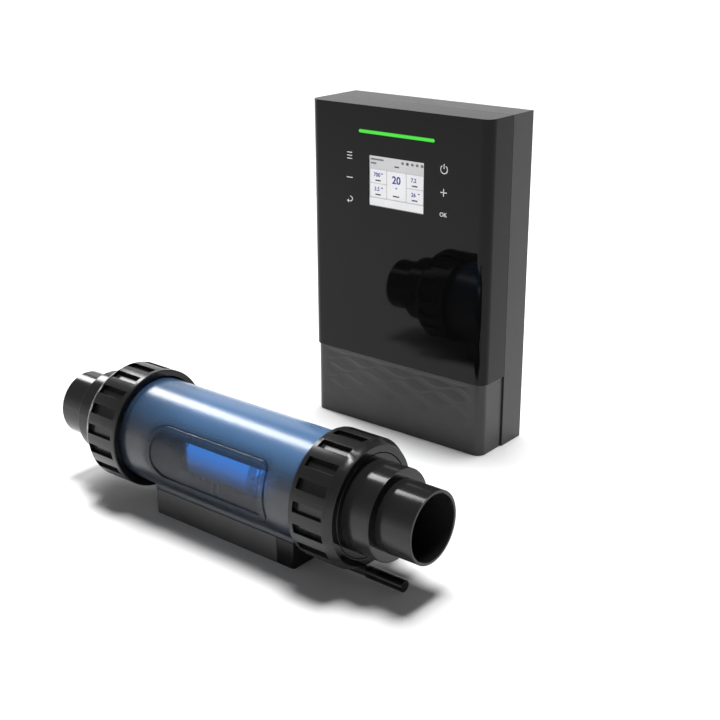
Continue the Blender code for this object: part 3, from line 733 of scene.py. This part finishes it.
def waveHeight(x, z, settings):
    # interleaved rows of long pillows: a steep lower side and a long, soft upper side
    length = settings["pillowLength"]
    best = 0.0
    for row in range(-1, 6):
        swing = 2 * math.pi * x / length + (0.0 if row % 2 == 0 else math.pi)
        width = 0.5 + 0.5 * math.cos(swing)
        half = settings["halfHeight"] * width ** 0.75
        middle = settings["topRow"] - row * settings["rowPitch"] - settings["lean"] * math.sin(swing)
        share = (z - middle + half) / (2 * half + 0.0001)
        if 0 < share < 1:
            rise = min(share / 0.16, 1.0)
            best = max(best, (rise * rise * (3 - 2 * rise)) * (1 - share) ** 0.8 * width ** 0.4)
    return best


def fadeIn(value, low, high):
    share = min(max((value - low) / (high - low), 0.0), 1.0)
    return share * share * (3 - 2 * share)


def makeWiringCover(settings):
    low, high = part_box("wiring_cover")
    corner = settings["corner"]
    halfWidth = (high.x - low.x) / 2
    flatHalf = halfWidth - corner
    turnLength = corner * math.pi / 2
    sideLength = high.y - low.y - corner
    total = 2 * (flatHalf + turnLength + sideLength)
    height = high.z - low.z
    columns, rows = int(total / settings["step"]), int(height / settings["step"])
    deselectAll()
    bpy.ops.mesh.primitive_grid_add(x_subdivisions=columns, y_subdivisions=rows, size=1)
    piece = bpy.context.object
    piece.name = "wiringCover"
    for vertex in piece.data.vertices:
        along = vertex.co.x * total
        z = low.z + (vertex.co.y + 0.5) * height
        side = 1 if along > 0 else -1
        run = abs(along)
        fade = fadeIn(z, *settings["fadeBelow"]) * (1 - fadeIn(z, *settings["fadeAbove"]))
        fade *= 1 - fadeIn(run, *settings["fadeAside"])
        raised = waveHeight(along, z, settings) * settings["depth"] * fade
        sunk = settings["depth"] * fade - raised
        if run <= flatHalf:
            x, y = run, low.y + sunk
        elif run <= flatHalf + turnLength:
            angle = (run - flatHalf) / corner
            x, y = flatHalf + corner * math.sin(angle), low.y + corner - corner * math.cos(angle)
        else:
            x, y = halfWidth, low.y + corner + run - flatHalf - turnLength
        vertex.co = (caseX + side * x, y, z)
    for level in (low.z, high.z):
        chooseEdges(piece, lambda a, b: abs(a.z - level) < 0.00001 and abs(b.z - level) < 0.00001)
        bpy.ops.mesh.edge_face_add()
        leaveEdit()
    outwardsOpen(piece)
    withModifier(piece, "SOLIDIFY", thickness=settings["wall"], offset=-1, use_even_offset=False)
    return hand(piece, "wave", "wiring_cover", ("wiring_cover",), 50, flats=False)


def outwardsOpen(piece):
    # normals of an open shell: its front has to face forwards
    editAll(piece)
    bpy.ops.mesh.normals_make_consistent(inside=False)
    leaveEdit()
    front = min(piece.data.polygons, key=lambda face: face.center.y)
    if front.normal.y > 0:
        editAll(piece)
        bpy.ops.mesh.flip_normals()
        leaveEdit()


makeFrontCover(coverSettings)
makeLightBar()
makeWiringCover(waveSettings)
hand(copyOfNode("rear_case", "rearCase", 0.0006, 3, 60), "satin", nodes=("rear_case",))
print("controller case made")


# ---- panel: lens, screen and printed touch marks

screenSettings = {
    "layer": 0.00012, "depth": 0.0019, "header": 0.0125, "strip": 0.0080, "gap": 0.0011, "corner": 0.0010,
    "columns": (0.0203, 0.0236, 0.0203), "readings": (("700", "3.5"), ("20",), ("7.2", "26")),
    "mark": 0.00006,
    "single": {"size": 0.0108, "shift": 0.0, "middle": 0.30, "under": 0.90},
    "double": {"size": 0.0056, "shift": -0.0016, "middle": 0.40, "under": 0.86},
    "weight": 0.028, "captionTall": 0.0014, "unitHalf": 0.0012, "unitTall": 0.0013, "unitShift": 0.0048,
    "icon": (0.0032, 0.0027), "iconPitch": 0.0060, "icons": 5, "lines": (0.0165, 0.0072),
    "linePitch": 0.0040,
}


def flatPlate(name, x0, x1, z0, z1, y0, y1, edge=0.0):
    plate = blockPiece(name, (x0, y0, z0), (x1, y1, z1))
    if edge:
        roundEdges(plate, lambda a, b: abs(a.y - b.y) > 0.00001, edge, 4)
    return plate


def writtenMark(name, text, size, x, z, y, thick, weight):
    # generic numerals, standing upright and facing forwards
    deselectAll()
    bpy.ops.object.text_add(location=(0, 0, 0))
    mark = bpy.context.object
    mark.name = name
    mark.data.body = text
    mark.data.size = size
    mark.data.align_x = "CENTER"
    mark.data.align_y = "CENTER"
    mark.data.extrude = thick
    mark.data.resolution_u = 4
    mark.data.offset = size * weight
    bpy.ops.object.convert(target="MESH")
    mark = bpy.context.object
    mark.rotation_euler = (math.pi / 2, 0, 0)
    mark.location = (x, y, z)
    settle(mark)
    return mark


def makeScreen(settings):
    lensLow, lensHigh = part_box("display_window")
    panelLow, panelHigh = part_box("display_panel")
    lens = roundedBlock("displayWindow", lensLow, lensHigh, 0.00015, 2)
    hand(lens, "lens", nodes=("display_window",))
    face = frontY + settings["depth"]
    inset = 0.0001
    x0, x1 = lensLow.x + inset, lensHigh.x - inset
    z0, z1 = lensLow.z + inset, lensHigh.z - inset
    back = blockPiece("displayPanel", (panelLow.x, panelLow.y, panelLow.z), panelHigh)
    front = blockPiece("screenBacklight", (x0, face + settings["layer"], z0), (x1, panelLow.y + 0.001, z1))
    cutWith(back, front, "UNION")
    hand(back, "screen", nodes=("display_panel",))
    thick = settings["layer"]

    def layer(name, xa, xb, za, zb, finish, edge=0.0):
        y1 = face + thick - 0.00002
        return hand(flatPlate(name, xa, xb, za, zb, y1 - thick * 0.5, y1, edge), finish)

    def caption(name, xa, wide, low, tall, finish, edge=0.0):
        mark = flatPlate(name, xa, xa + wide, low, low + tall, face, face + settings["mark"], edge)
        hand(mark, finish)

    layer("screenFoot", x0, x1, z0, z0 + settings["strip"] - 0.0004, "tile")
    top = z1 - settings["header"]
    layer("screenHeader", x0, x1, top, z1, "header")
    gap = settings["gap"]
    usable = top - z0 - settings["strip"] - gap
    x = x0 + gap * 0.8
    unitHalf, unitTall, wordTall = settings["unitHalf"], settings["unitTall"], settings["captionTall"]
    for column, width in enumerate(settings["columns"]):
        texts = settings["readings"][column]
        look = settings["single" if len(texts) == 1 else "double"]
        tall = (usable - gap * len(texts)) / len(texts) + gap * 0.2
        for row, text in enumerate(texts):
            high = top - gap - row * (tall + gap * 0.8)
            name = f"tile{column + 1}{row + 1}"
            layer(name, x, x + width, high - tall, high, "tile", settings["corner"])
            middle = high - tall * look["middle"]
            markX = x + width / 2 + look["shift"]
            mark = writtenMark(name + "Reading", text, look["size"], markX, middle, face, settings["mark"],
                               settings["weight"])
            hand(mark, "digits")
            under = high - tall * look["under"]
            caption(name + "Caption", x + width * 0.32, width * 0.34, under, wordTall, "smallMarks")
            unitX, unitZ = x + width / 2, high - tall * 0.60
            if len(texts) > 1:
                unitX, unitZ = unitX + settings["unitShift"], middle + 0.0010
            if text != "7.2":
                caption(name + "Unit", unitX - unitHalf, 2 * unitHalf, unitZ, unitTall, "blueMarks")
        x += width + gap
    wide, tall = settings["icon"]
    for k in range(settings["icons"]):
        left = x1 - 0.0046 - k * settings["iconPitch"]
        finish = "smallMarks" if k == 3 else "faintMarks"
        caption(f"statusIcon{k + 1}", left, wide, z1 - 0.0049, tall, finish, 0.0007)
    for k, wide in enumerate(settings["lines"]):
        low = z1 - 0.0042 - k * settings["linePitch"]
        caption(f"headerLine{k + 1}", x0 + 0.0014, wide, low, 0.0017, "faintMarks")
    caption("headerState", (x0 + x1) / 2 - 0.0028, 0.0056, top + 0.0036, wordTall, "smallMarks")


markSettings = {
    "left": -0.0590, "right": 0.0590, "rows": (0.2919, 0.2692, 0.2470), "line": 0.00090, "thick": 0.00004,
    "menuPitch": 0.0031, "menuWide": 0.0066, "barWide": 0.0078, "backRadius": 0.0025, "arrow": 0.0021,
    "powerRadius": 0.0040, "powerBar": 0.0048, "textSize": 0.0060, "textWeight": 0.012,
}


def inkBar(name, x, z, wide, tall, settings):
    y = frontY - settings["thick"]
    return flatPlate(name, x - wide / 2, x + wide / 2, z - tall / 2, z + tall / 2, y, frontY + 0.00002)


def inkArc(name, x, z, radius, line, start, end, settings, steps=28):
    # part of a flat ring, spun in the panel's plane
    y = frontY - settings["thick"]
    near, far = x + radius - line / 2, x + radius + line / 2
    piece = flatPlate(name, near, far, z, z + 0.00001, y, frontY + 0.00002)
    chooseFaces(piece, lambda c, n: n.z > 0.9)
    turnAll = math.radians(end - start)
    bpy.ops.mesh.spin(steps=steps, dupli=False, angle=turnAll, center=(x, y, z), axis=(0, 1, 0))
    leaveEdit()
    editAll(piece)
    bpy.ops.mesh.remove_doubles(threshold=0.0000005)
    leaveEdit()
    place = Matrix.Translation((x, y, z))
    piece.data.transform(place @ Matrix.Rotation(-math.radians(start), 4, "Y") @ place.inverted())
    return piece


def makeTouchMarks(settings):
    left, right = caseX + settings["left"], caseX + settings["right"]
    high, middle, low = settings["rows"]
    line, wide = settings["line"], settings["barWide"]
    pitch, radius = settings["menuPitch"], settings["backRadius"]
    menu = [inkBar("menuBar", left, high + k * pitch, settings["menuWide"], line, settings)
            for k in (-1, 0, 1)]
    minus = [inkBar("minusBar", left, middle, wide, line, settings)]
    back = [inkArc("backArc", left + 0.0008, low, radius, line, -90, 100, settings),
            inkBar("backFoot", left - 0.0004, low - radius, 0.0026, line, settings),
            arrowHead("backArrow", left - 0.0037, low - radius, settings["arrow"], settings)]
    power = [inkArc("powerArc", right, high, settings["powerRadius"], line, 122, 418, settings),
             inkBar("powerBar", right, high + 0.0030, line, settings["powerBar"], settings)]
    plus = [inkBar("plusFlat", right, middle, wide, line, settings),
            inkBar("plusUpright", right, middle, line, wide, settings)]
    groups = {"menuMark": menu, "minusMark": minus, "backMark": back, "powerMark": power, "plusMark": plus}
    for name, group in groups.items():
        hand(joinPieces(name, group), "ink")
    half = settings["thick"] / 2
    confirm = writtenMark("confirmMark", "OK", settings["textSize"], right, low, frontY - half, half,
                          settings["textWeight"])
    hand(confirm, "ink")


def arrowHead(name, x, z, size, settings):
    tip = flatPlate(name, x, x + size, z - size, z + size, frontY - settings["thick"], frontY + 0.00002)
    for vertex in tip.data.vertices:
        if vertex.co.x < x + size / 2:
            vertex.co.z = z + (vertex.co.z - z) * 0.02
    return tip


makeScreen(screenSettings)
makeTouchMarks(markSettings)
print("panel made")


# ---- case hardware and inside parts

screwSettings = {
    "case": {"axis": "Y", "head": 0.00365, "thick": 0.0014, "shank": 0.0014, "count": 4},
    "base": {"axis": "Z", "head": 0.0027, "thick": 0.0009, "shank": 0.00125, "count": 2},
    "threads": 9, "threadShare": 0.6, "root": 0.86, "point": 0.0015, "pointShare": 0.55, "edge": 0.0003,
    "crossShare": 0.62, "crossHalf": 0.00035, "crossDepth": 0.55,
}


def makeScrew(kind, number, settings):
    node, own = f"{kind}_screw_{number}", settings[kind]
    index = "XYZ".index(own["axis"])
    low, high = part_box(node)
    centre = axisOf(node, index)
    sign = 1 if kind == "case" else -1
    tip, headEnd = (low[index], high[index])[::sign]
    headStart = headEnd - sign * own["thick"]
    shank, head, edge = own["shank"], own["head"], settings["edge"]
    at = tip + sign * settings["point"]
    profile = [(tip, shank * settings["pointShare"]), (at, shank)]
    span = sign * abs(headStart - tip) * settings["threadShare"] / settings["threads"]
    for k in range(settings["threads"]):
        profile += [(at + span * (k + 0.5), shank * settings["root"]), (at + span * (k + 1), shank)]
    profile += [(headStart, shank), (headStart, head), (headEnd - sign * edge, head), (headEnd, head - edge)]
    screw = turnedPiece(f"{kind}Screw{number}", profile, centre, own["axis"], 40, False)
    cross, narrow = head * settings["crossShare"], settings["crossHalf"]
    centre[index] = headEnd
    for wide, deep in ((cross, narrow), (narrow, cross)):
        half = [wide, deep]
        half.insert(index, own["thick"] * settings["crossDepth"])
        cutWith(screw, blockPiece("crossTool", centre - Vector(half), centre + Vector(half)))
    return hand(screw, "steel", nodes=(node,))


def makeInsideParts():
    for kind in ("case", "base"):
        for k in range(screwSettings[kind]["count"]):
            makeScrew(kind, k + 1, screwSettings)
    plain = {
        "display_board": ("board", "circuit_board"), "power_board": ("board", "circuit_board"),
        "touch_strip_left": ("foam", "touch_foam"), "touch_strip_right": ("foam", "touch_foam"),
        "relay": ("blue", "blue_plastic"), "terminal_block": ("blue", "blue_plastic"),
        "heat_sink": ("aluminium", "aluminium"), "case_gasket": ("rubber", "rubber"),
        "fuse_holder": ("satin", "satin_black"), "base_plate": ("satin", "satin_black"),
        "base_end_cap": ("cap", "gloss_black"), "cell_base": ("base", "satin_black"),
    }
    for node, (finish, slot) in plain.items():
        ease = 0.0004 if node in ("relay", "terminal_block", "base_end_cap", "cell_base") else 0.0002
        piece = copyOfNode(node, node + "Eased", ease, 2, 50)
        hand(piece, finish, nodes=(node,))
    for k in (1, 2, 3):
        makeFitting(f"cable_gland_{k}", f"cableGland{k}", "Z", cableGlandSettings, "satin")
    for k in (1, 2):
        makeFitting(f"capacitor_{k}", f"capacitor{k}", "Y", capacitorSettings, "can")
    makeToroid(toroidSettings)


cableGlandSettings = {
    "near": ((0, 0.0055), (0.0004, 0.0068), (0.0022, 0.0088), (0.0060, 0.0088), (0.0060, 0.0080),
             (0.0066, 0.0080), (0.0066, 0.0088)),
    "far": ((0.0075, 0.0088), (0.0075, 0.0060), (0.0004, 0.0060), (0, 0.0056)), "segments": 48,
}
capacitorSettings = {
    "near": ((0, 0.0092), (0.0010, 0.0102)),
    "far": ((0.0040, 0.0102), (0.0034, 0.0094), (0.0026, 0.0094), (0.0020, 0.0102), (0.0003, 0.0102),
            (0, 0.0099)), "segments": 56,
}
toroidSettings = {"radii": (0.0248, 0.0068), "stretch": 2.4, "halfDepth": 0.0152}


def makeFitting(node, name, axis, settings, finish):
    low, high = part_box(node)
    index = "XYZ".index(axis)
    profile = fromEnds(low[index], high[index], settings["near"], settings["far"])
    piece = turnedPiece(name, profile, axisOf(node, index), axis, settings["segments"], False)
    hand(piece, finish, nodes=(node,))


def makeToroid(settings):
    centre = midOf("toroid_transformer")
    coil = torusPiece("toroidTransformer", centre, (120, 28), settings["radii"], (math.pi / 2, 0, 0))
    limit = settings["halfDepth"]
    for vertex in coil.data.vertices:
        out = (vertex.co.y - centre.y) * settings["stretch"]
        vertex.co.y = centre.y + max(min(out, limit), -limit)
    return hand(coil, "copper", nodes=("toroid_transformer",), angle=60)


makeInsideParts()
print("inside parts made")


# ---- cell housing

tubeSettings = {
    "radius": 0.0490, "bore": 0.0450, "segments": 160, "threadRise": 0.0008, "threadPitch": 0.0030,
    "threads": 7, "firstThread": 0.0030, "edge": 0.0008, "footHigh": 0.022, "drill": 0.0033,
}


def plainRod(name, half, radius, centre, segments):
    return turnedPiece(name, [(-half, radius), (half, radius)], centre, segments=segments, closed=False)


def makeHousing(settings):
    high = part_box("cell_housing")[1]
    radius, rise, pitch = settings["radius"], settings["threadRise"], settings["threadPitch"]
    end = high.x
    half = [(end, radius - settings["edge"]), (end - settings["edge"], radius)]
    at = end - settings["firstThread"]
    for k in range(settings["threads"]):
        half += [(at, radius), (at - pitch * 0.3, radius + rise), (at - pitch * 0.45, radius + rise),
                 (at - pitch * 0.75, radius)]
        at -= pitch
    profile = half + [(-x, r) for x, r in reversed(half)]
    centre = cellCentre
    body = turnedPiece("cellHousing", profile, centre, segments=settings["segments"], closed=False)
    baseLow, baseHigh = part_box("cell_base")
    footHalf = (baseHigh.y - baseLow.y) / 2
    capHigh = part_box("base_end_cap")[1]
    foot = blockPiece("footTool", (baseLow.x, cellAxis.y - footHalf, baseHigh.z + 0.0003),
                      (capHigh.x, cellAxis.y + footHalf, baseHigh.z + settings["footHigh"]))
    softenEdges(foot, settings["edge"], 3)
    cutWith(body, foot, "UNION")
    ring = frameRing(settings, tubeFrame, centre)
    cutWith(body, ring, "UNION")
    cutWith(body, plainRod("boreTool", 0.2, settings["bore"], centre, settings["segments"]))
    for side in ("left", "right"):
        place = (midOf(f"terminal_post_{side}").x, cellAxis.y, 0)
        profile = [(0.005, settings["drill"]), (0.035, settings["drill"])]
        drill = turnedPiece("drill", profile, place, "Z", 32, False)
        cutWith(body, drill)
    return hand(body, "tube", nodes=("cell_housing",), angle=25)


def frameRing(settings, shape, centre):
    # the raised frame: a rounded ring pushed through the tube's skin
    halfX, halfZ = shape["halfX"] - 0.0002, shape["halfZ"] - 0.0002
    width = shape["width"]
    outer = flatPlate("ringOuter", -halfX, halfX, -halfZ, halfZ, -0.060, -0.030)
    inX, inZ = halfX - width, halfZ - width
    inner = flatPlate("ringInner", -inX, inX, -inZ, inZ, -0.07, -0.02)
    for piece, less in ((outer, 0.0), (inner, width)):
        for sign, corner in ((-1, shape["leftCorner"]), (1, shape["rightCorner"])):
            here = halfX * 0.8
            roundEdges(piece, lambda a, b: abs(a.y - b.y) > 0.001 and a.x * sign > here, corner - less, 12)
        piece.rotation_euler = (-math.radians(shape["tilt"]), 0, 0)
        piece.location = centre
        settle(piece)
    cutWith(outer, inner)
    radius = settings["radius"] + shape["rise"]
    cutWith(outer, plainRod("skinTool", 0.1, radius, centre, settings["segments"]), "INTERSECT")
    softenEdges(outer, 0.0005, 2, 50)
    return outer


makeHousing(tubeSettings)
print("cell housing made")


# ---- electrodes

def makeElectrodes():
    for k in range(1, 6):
        low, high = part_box(f"electrode_plate_{k}")
        plate = roundedBlock(f"electrodePlate{k}", low, high, 0.0002, 2)
        hand(plate, "plate", nodes=(f"electrode_plate_{k}",))
    for side in ("left", "right"):
        comb = copyOfNode(f"electrode_comb_{side}", f"{side}Comb", 0.0)
        hand(comb, "comb", nodes=(f"electrode_comb_{side}",))
        post = copyOfNode(f"terminal_post_{side}", f"{side}Post", 0.0)
        hand(post, "plate", nodes=(f"terminal_post_{side}",))


makeElectrodes()
print("electrodes made")


# ---- unions

nutSettings = {
    "length": 0.0434, "lands": 0.0360, "outer": 0.0565, "rim": 0.0522, "bore": 0.0504, "front": 0.0457,
    "wallStart": 0.0334, "collar": 0.005, "grooves": 18, "grooveAngle": 9.5, "chamfer": 0.0008,
    "threads": 8, "threadPitch": 0.0036, "threadDepth": 0.0006,
}
tailSettings = {
    "flange": 0.0496, "flangeLength": 0.0053, "step": 0.0452, "collar": 0.0400, "collarEnd": 0.0707,
    "stub": 0.0315, "bore": 0.0287, "stubEnd": 0.1051, "edge": 0.0007,
}
ringSettings = {
    "major": 0.0469, "minor": 0.0011, "slipInner": 0.0456, "slipOuter": 0.0495, "slipEdge": 0.0002,
}


def mirrored(profile, sign, start):
    return [(sign * (start + along), radius) for along, radius in profile]


def makeNut(side, sign, settings):
    node = f"{side}_union_nut"
    low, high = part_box(node)
    start = low.x if sign > 0 else -high.x
    bore, outer, rim, front = settings["bore"], settings["outer"], settings["rim"], settings["front"]
    length, wall, chamfer = settings["length"], settings["wallStart"], settings["chamfer"]
    small, root = 0.0003, bore + settings["threadDepth"]
    thread = []
    for k in range(settings["threads"]):
        at = wall - 0.003 - k * settings["threadPitch"]
        thread += [(at, root), (at - 0.0010, bore), (at - 0.0022, bore)]
    profile = [(0, root), (0, outer - chamfer), (chamfer, outer), (settings["lands"], outer),
               (length - 0.0004, rim), (length, rim - 0.0004), (length, front + small),
               (length - small, front), (wall, front), (wall, root)] + thread
    nut = turnedPiece(f"{side}UnionNut", mirrored(profile, sign, start), cellCentre, segments=144)
    cutWith(nut, grooveTool(sign, start, settings, cellCentre))
    softenEdges(nut, 0.00035, 2, 40)
    return hand(nut, "nut", body=f"{side}_nut", nodes=(node,), angle=35)


def grooveTool(sign, start, settings, centre):
    # one groove, copied round the nut
    half = settings["outer"] * math.sin(math.radians(settings["grooveAngle"]) / 2)
    ends = sorted((sign * (start + settings["collar"]), sign * (start + settings["lands"] - 0.0002)))
    floor = settings["rim"] + 0.0002
    copies = []
    for k in range(settings["grooves"]):
        one = blockPiece("groove", (ends[0], -half, floor), (ends[1], half, floor + 0.008))
        one.rotation_euler = (2 * math.pi * k / settings["grooves"], 0, 0)
        one.location = centre
        settle(one)
        copies.append(one)
    return joinPieces("grooves", copies)


def makeTail(side, sign, settings):
    node = f"{side}_union_tail"
    low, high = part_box(node)
    nutLow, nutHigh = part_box(f"{side}_union_nut")
    start = nutLow.x if sign > 0 else -nutHigh.x
    face = (low.x if sign > 0 else -high.x) - start
    major, minor, small = ringSettings["major"], ringSettings["minor"], settings["edge"]
    inner, outer, depth = major - minor - 0.0005, major + minor + 0.0005, 2 * minor + 0.0005
    flange, step, collar = settings["flange"], settings["step"], settings["collar"]
    stub, bore, ease = settings["stub"], settings["bore"], 0.0003
    flangeEnd, stepEnd = face + settings["flangeLength"], nutSettings["length"] - 0.0004
    collarEnd, end = settings["collarEnd"], settings["stubEnd"]
    profile = [(face, bore + 0.0004), (face, inner), (face + depth, inner), (face + depth, outer),
               (face, outer), (face, flange - ease), (face + ease, flange), (flangeEnd, flange),
               (flangeEnd, step), (stepEnd - ease, step), (stepEnd, step - ease), (stepEnd, collar),
               (collarEnd - small, collar), (collarEnd - small * 0.3, collar - small * 0.3),
               (collarEnd, collar - small), (collarEnd, stub),
               (end - small * 0.6, stub), (end - small * 0.2, stub - small * 0.2), (end, stub - small * 0.6),
               (end, bore + 0.0005), (end - 0.0005, bore), (face + 0.0004, bore)]
    tail = turnedPiece(f"{side}UnionTail", mirrored(profile, sign, start), cellCentre, segments=144)
    return hand(tail, "tail", body=f"{side}_tail", nodes=(node,), angle=30)


def makeSeals(side):
    place = (midOf(f"{side}_o_ring").x, cellAxis.y, cellAxis.z)
    radii = (ringSettings["major"], ringSettings["minor"] * 0.99)
    ring = torusPiece(f"{side}ORing", place, (128, 16), radii, (0, math.pi / 2, 0))
    hand(ring, "rubber", body=f"{side}_tail", nodes=(f"{side}_o_ring",), angle=80)
    start, end = (corner.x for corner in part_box(f"{side}_slip_ring"))
    inner, outer, small = ringSettings["slipInner"], ringSettings["slipOuter"], ringSettings["slipEdge"]
    profile = [(start, inner + small), (start, outer - small), (start + small, outer), (end - small, outer),
               (end, outer - small), (end, inner + small), (end - small, inner), (start + small, inner)]
    slip = turnedPiece(f"{side}SlipRing", profile, cellCentre, segments=128)
    hand(slip, "rubber", body=f"{side}_slip", nodes=(f"{side}_slip_ring",))


for unionSide, unionSign in (("left", -1), ("right", 1)):
    makeTail(unionSide, unionSign, tailSettings)
    makeNut(unionSide, unionSign, nutSettings)
    makeSeals(unionSide)
print("unions made")


# ---- floor and light

studioSettings = {
    "floorSize": 60.0, "sun": {"from": (0.03, 0.10, 1.0), "strength": 3.35, "angle": 20.0},
    "sky": ((0.05, 0.90), (0.32, 0.24), (0.66, 0.04)), "skyStrength": 1.0,
    "lights": {
        "tubeStrip": {"place": (-1.30, 0.30, 1.45), "aim": (0, -0.13, 0.10), "size": (0.42, 1.2), "power": 24},
        "backPanel": {"place": (-1.70, 2.30, 1.35), "aim": (0, 0.1, 0.30), "size": (2.4, 1.0), "power": 7},
    },
}


def makeStudio(settings):
    deselectAll()
    bpy.ops.mesh.primitive_plane_add(size=settings["floorSize"], location=(0, 0, 0))
    floor = bpy.context.object
    floor.name = "floor"
    settle(floor)
    floor.data.materials.append(floorFinish())
    for name, light in settings["lights"].items():
        data = bpy.data.lights.new(name, "AREA")
        data.shape = "RECTANGLE"
        data.size, data.size_y = light["size"]
        data.energy = light["power"]
        lamp = linkNew(name, data)
        lamp.location = light["place"]
        way = Vector(light["aim"]) - Vector(light["place"])
        lamp.rotation_euler = way.to_track_quat("-Z", "Y").to_euler()
    data = bpy.data.lights.new("overheadSun", "SUN")
    data.energy = settings["sun"]["strength"]
    data.angle = math.radians(settings["sun"]["angle"])
    way = Vector(settings["sun"]["from"])
    linkNew("overheadSun", data).rotation_euler = way.to_track_quat("Z", "Y").to_euler()
    world = bpy.data.worlds.new("studioSky")
    bpy.context.scene.world = world
    world.use_nodes = True
    tree = world.node_tree
    place = tree.nodes.new("ShaderNodeTexCoord")
    split = tree.nodes.new("ShaderNodeSeparateXYZ")
    ramp = tree.nodes.new("ShaderNodeValToRGB")
    stops = ramp.color_ramp.elements
    stops.new(0.5)
    for stop, (height, level) in zip(stops, settings["sky"]):
        stop.position = height
        stop.color = (level, level, level * 1.02, 1)
    tree.links.new(place.outputs["Generated"], split.inputs[0])
    tree.links.new(split.outputs[2], ramp.inputs[0])
    backdrop = tree.nodes["Background"]
    tree.links.new(ramp.outputs[0], backdrop.inputs[0])
    backdrop.inputs[1].default_value = settings["skyStrength"]
    bpy.context.scene.view_settings.view_transform = "Standard"


makeStudio(studioSettings)
print("studio made")
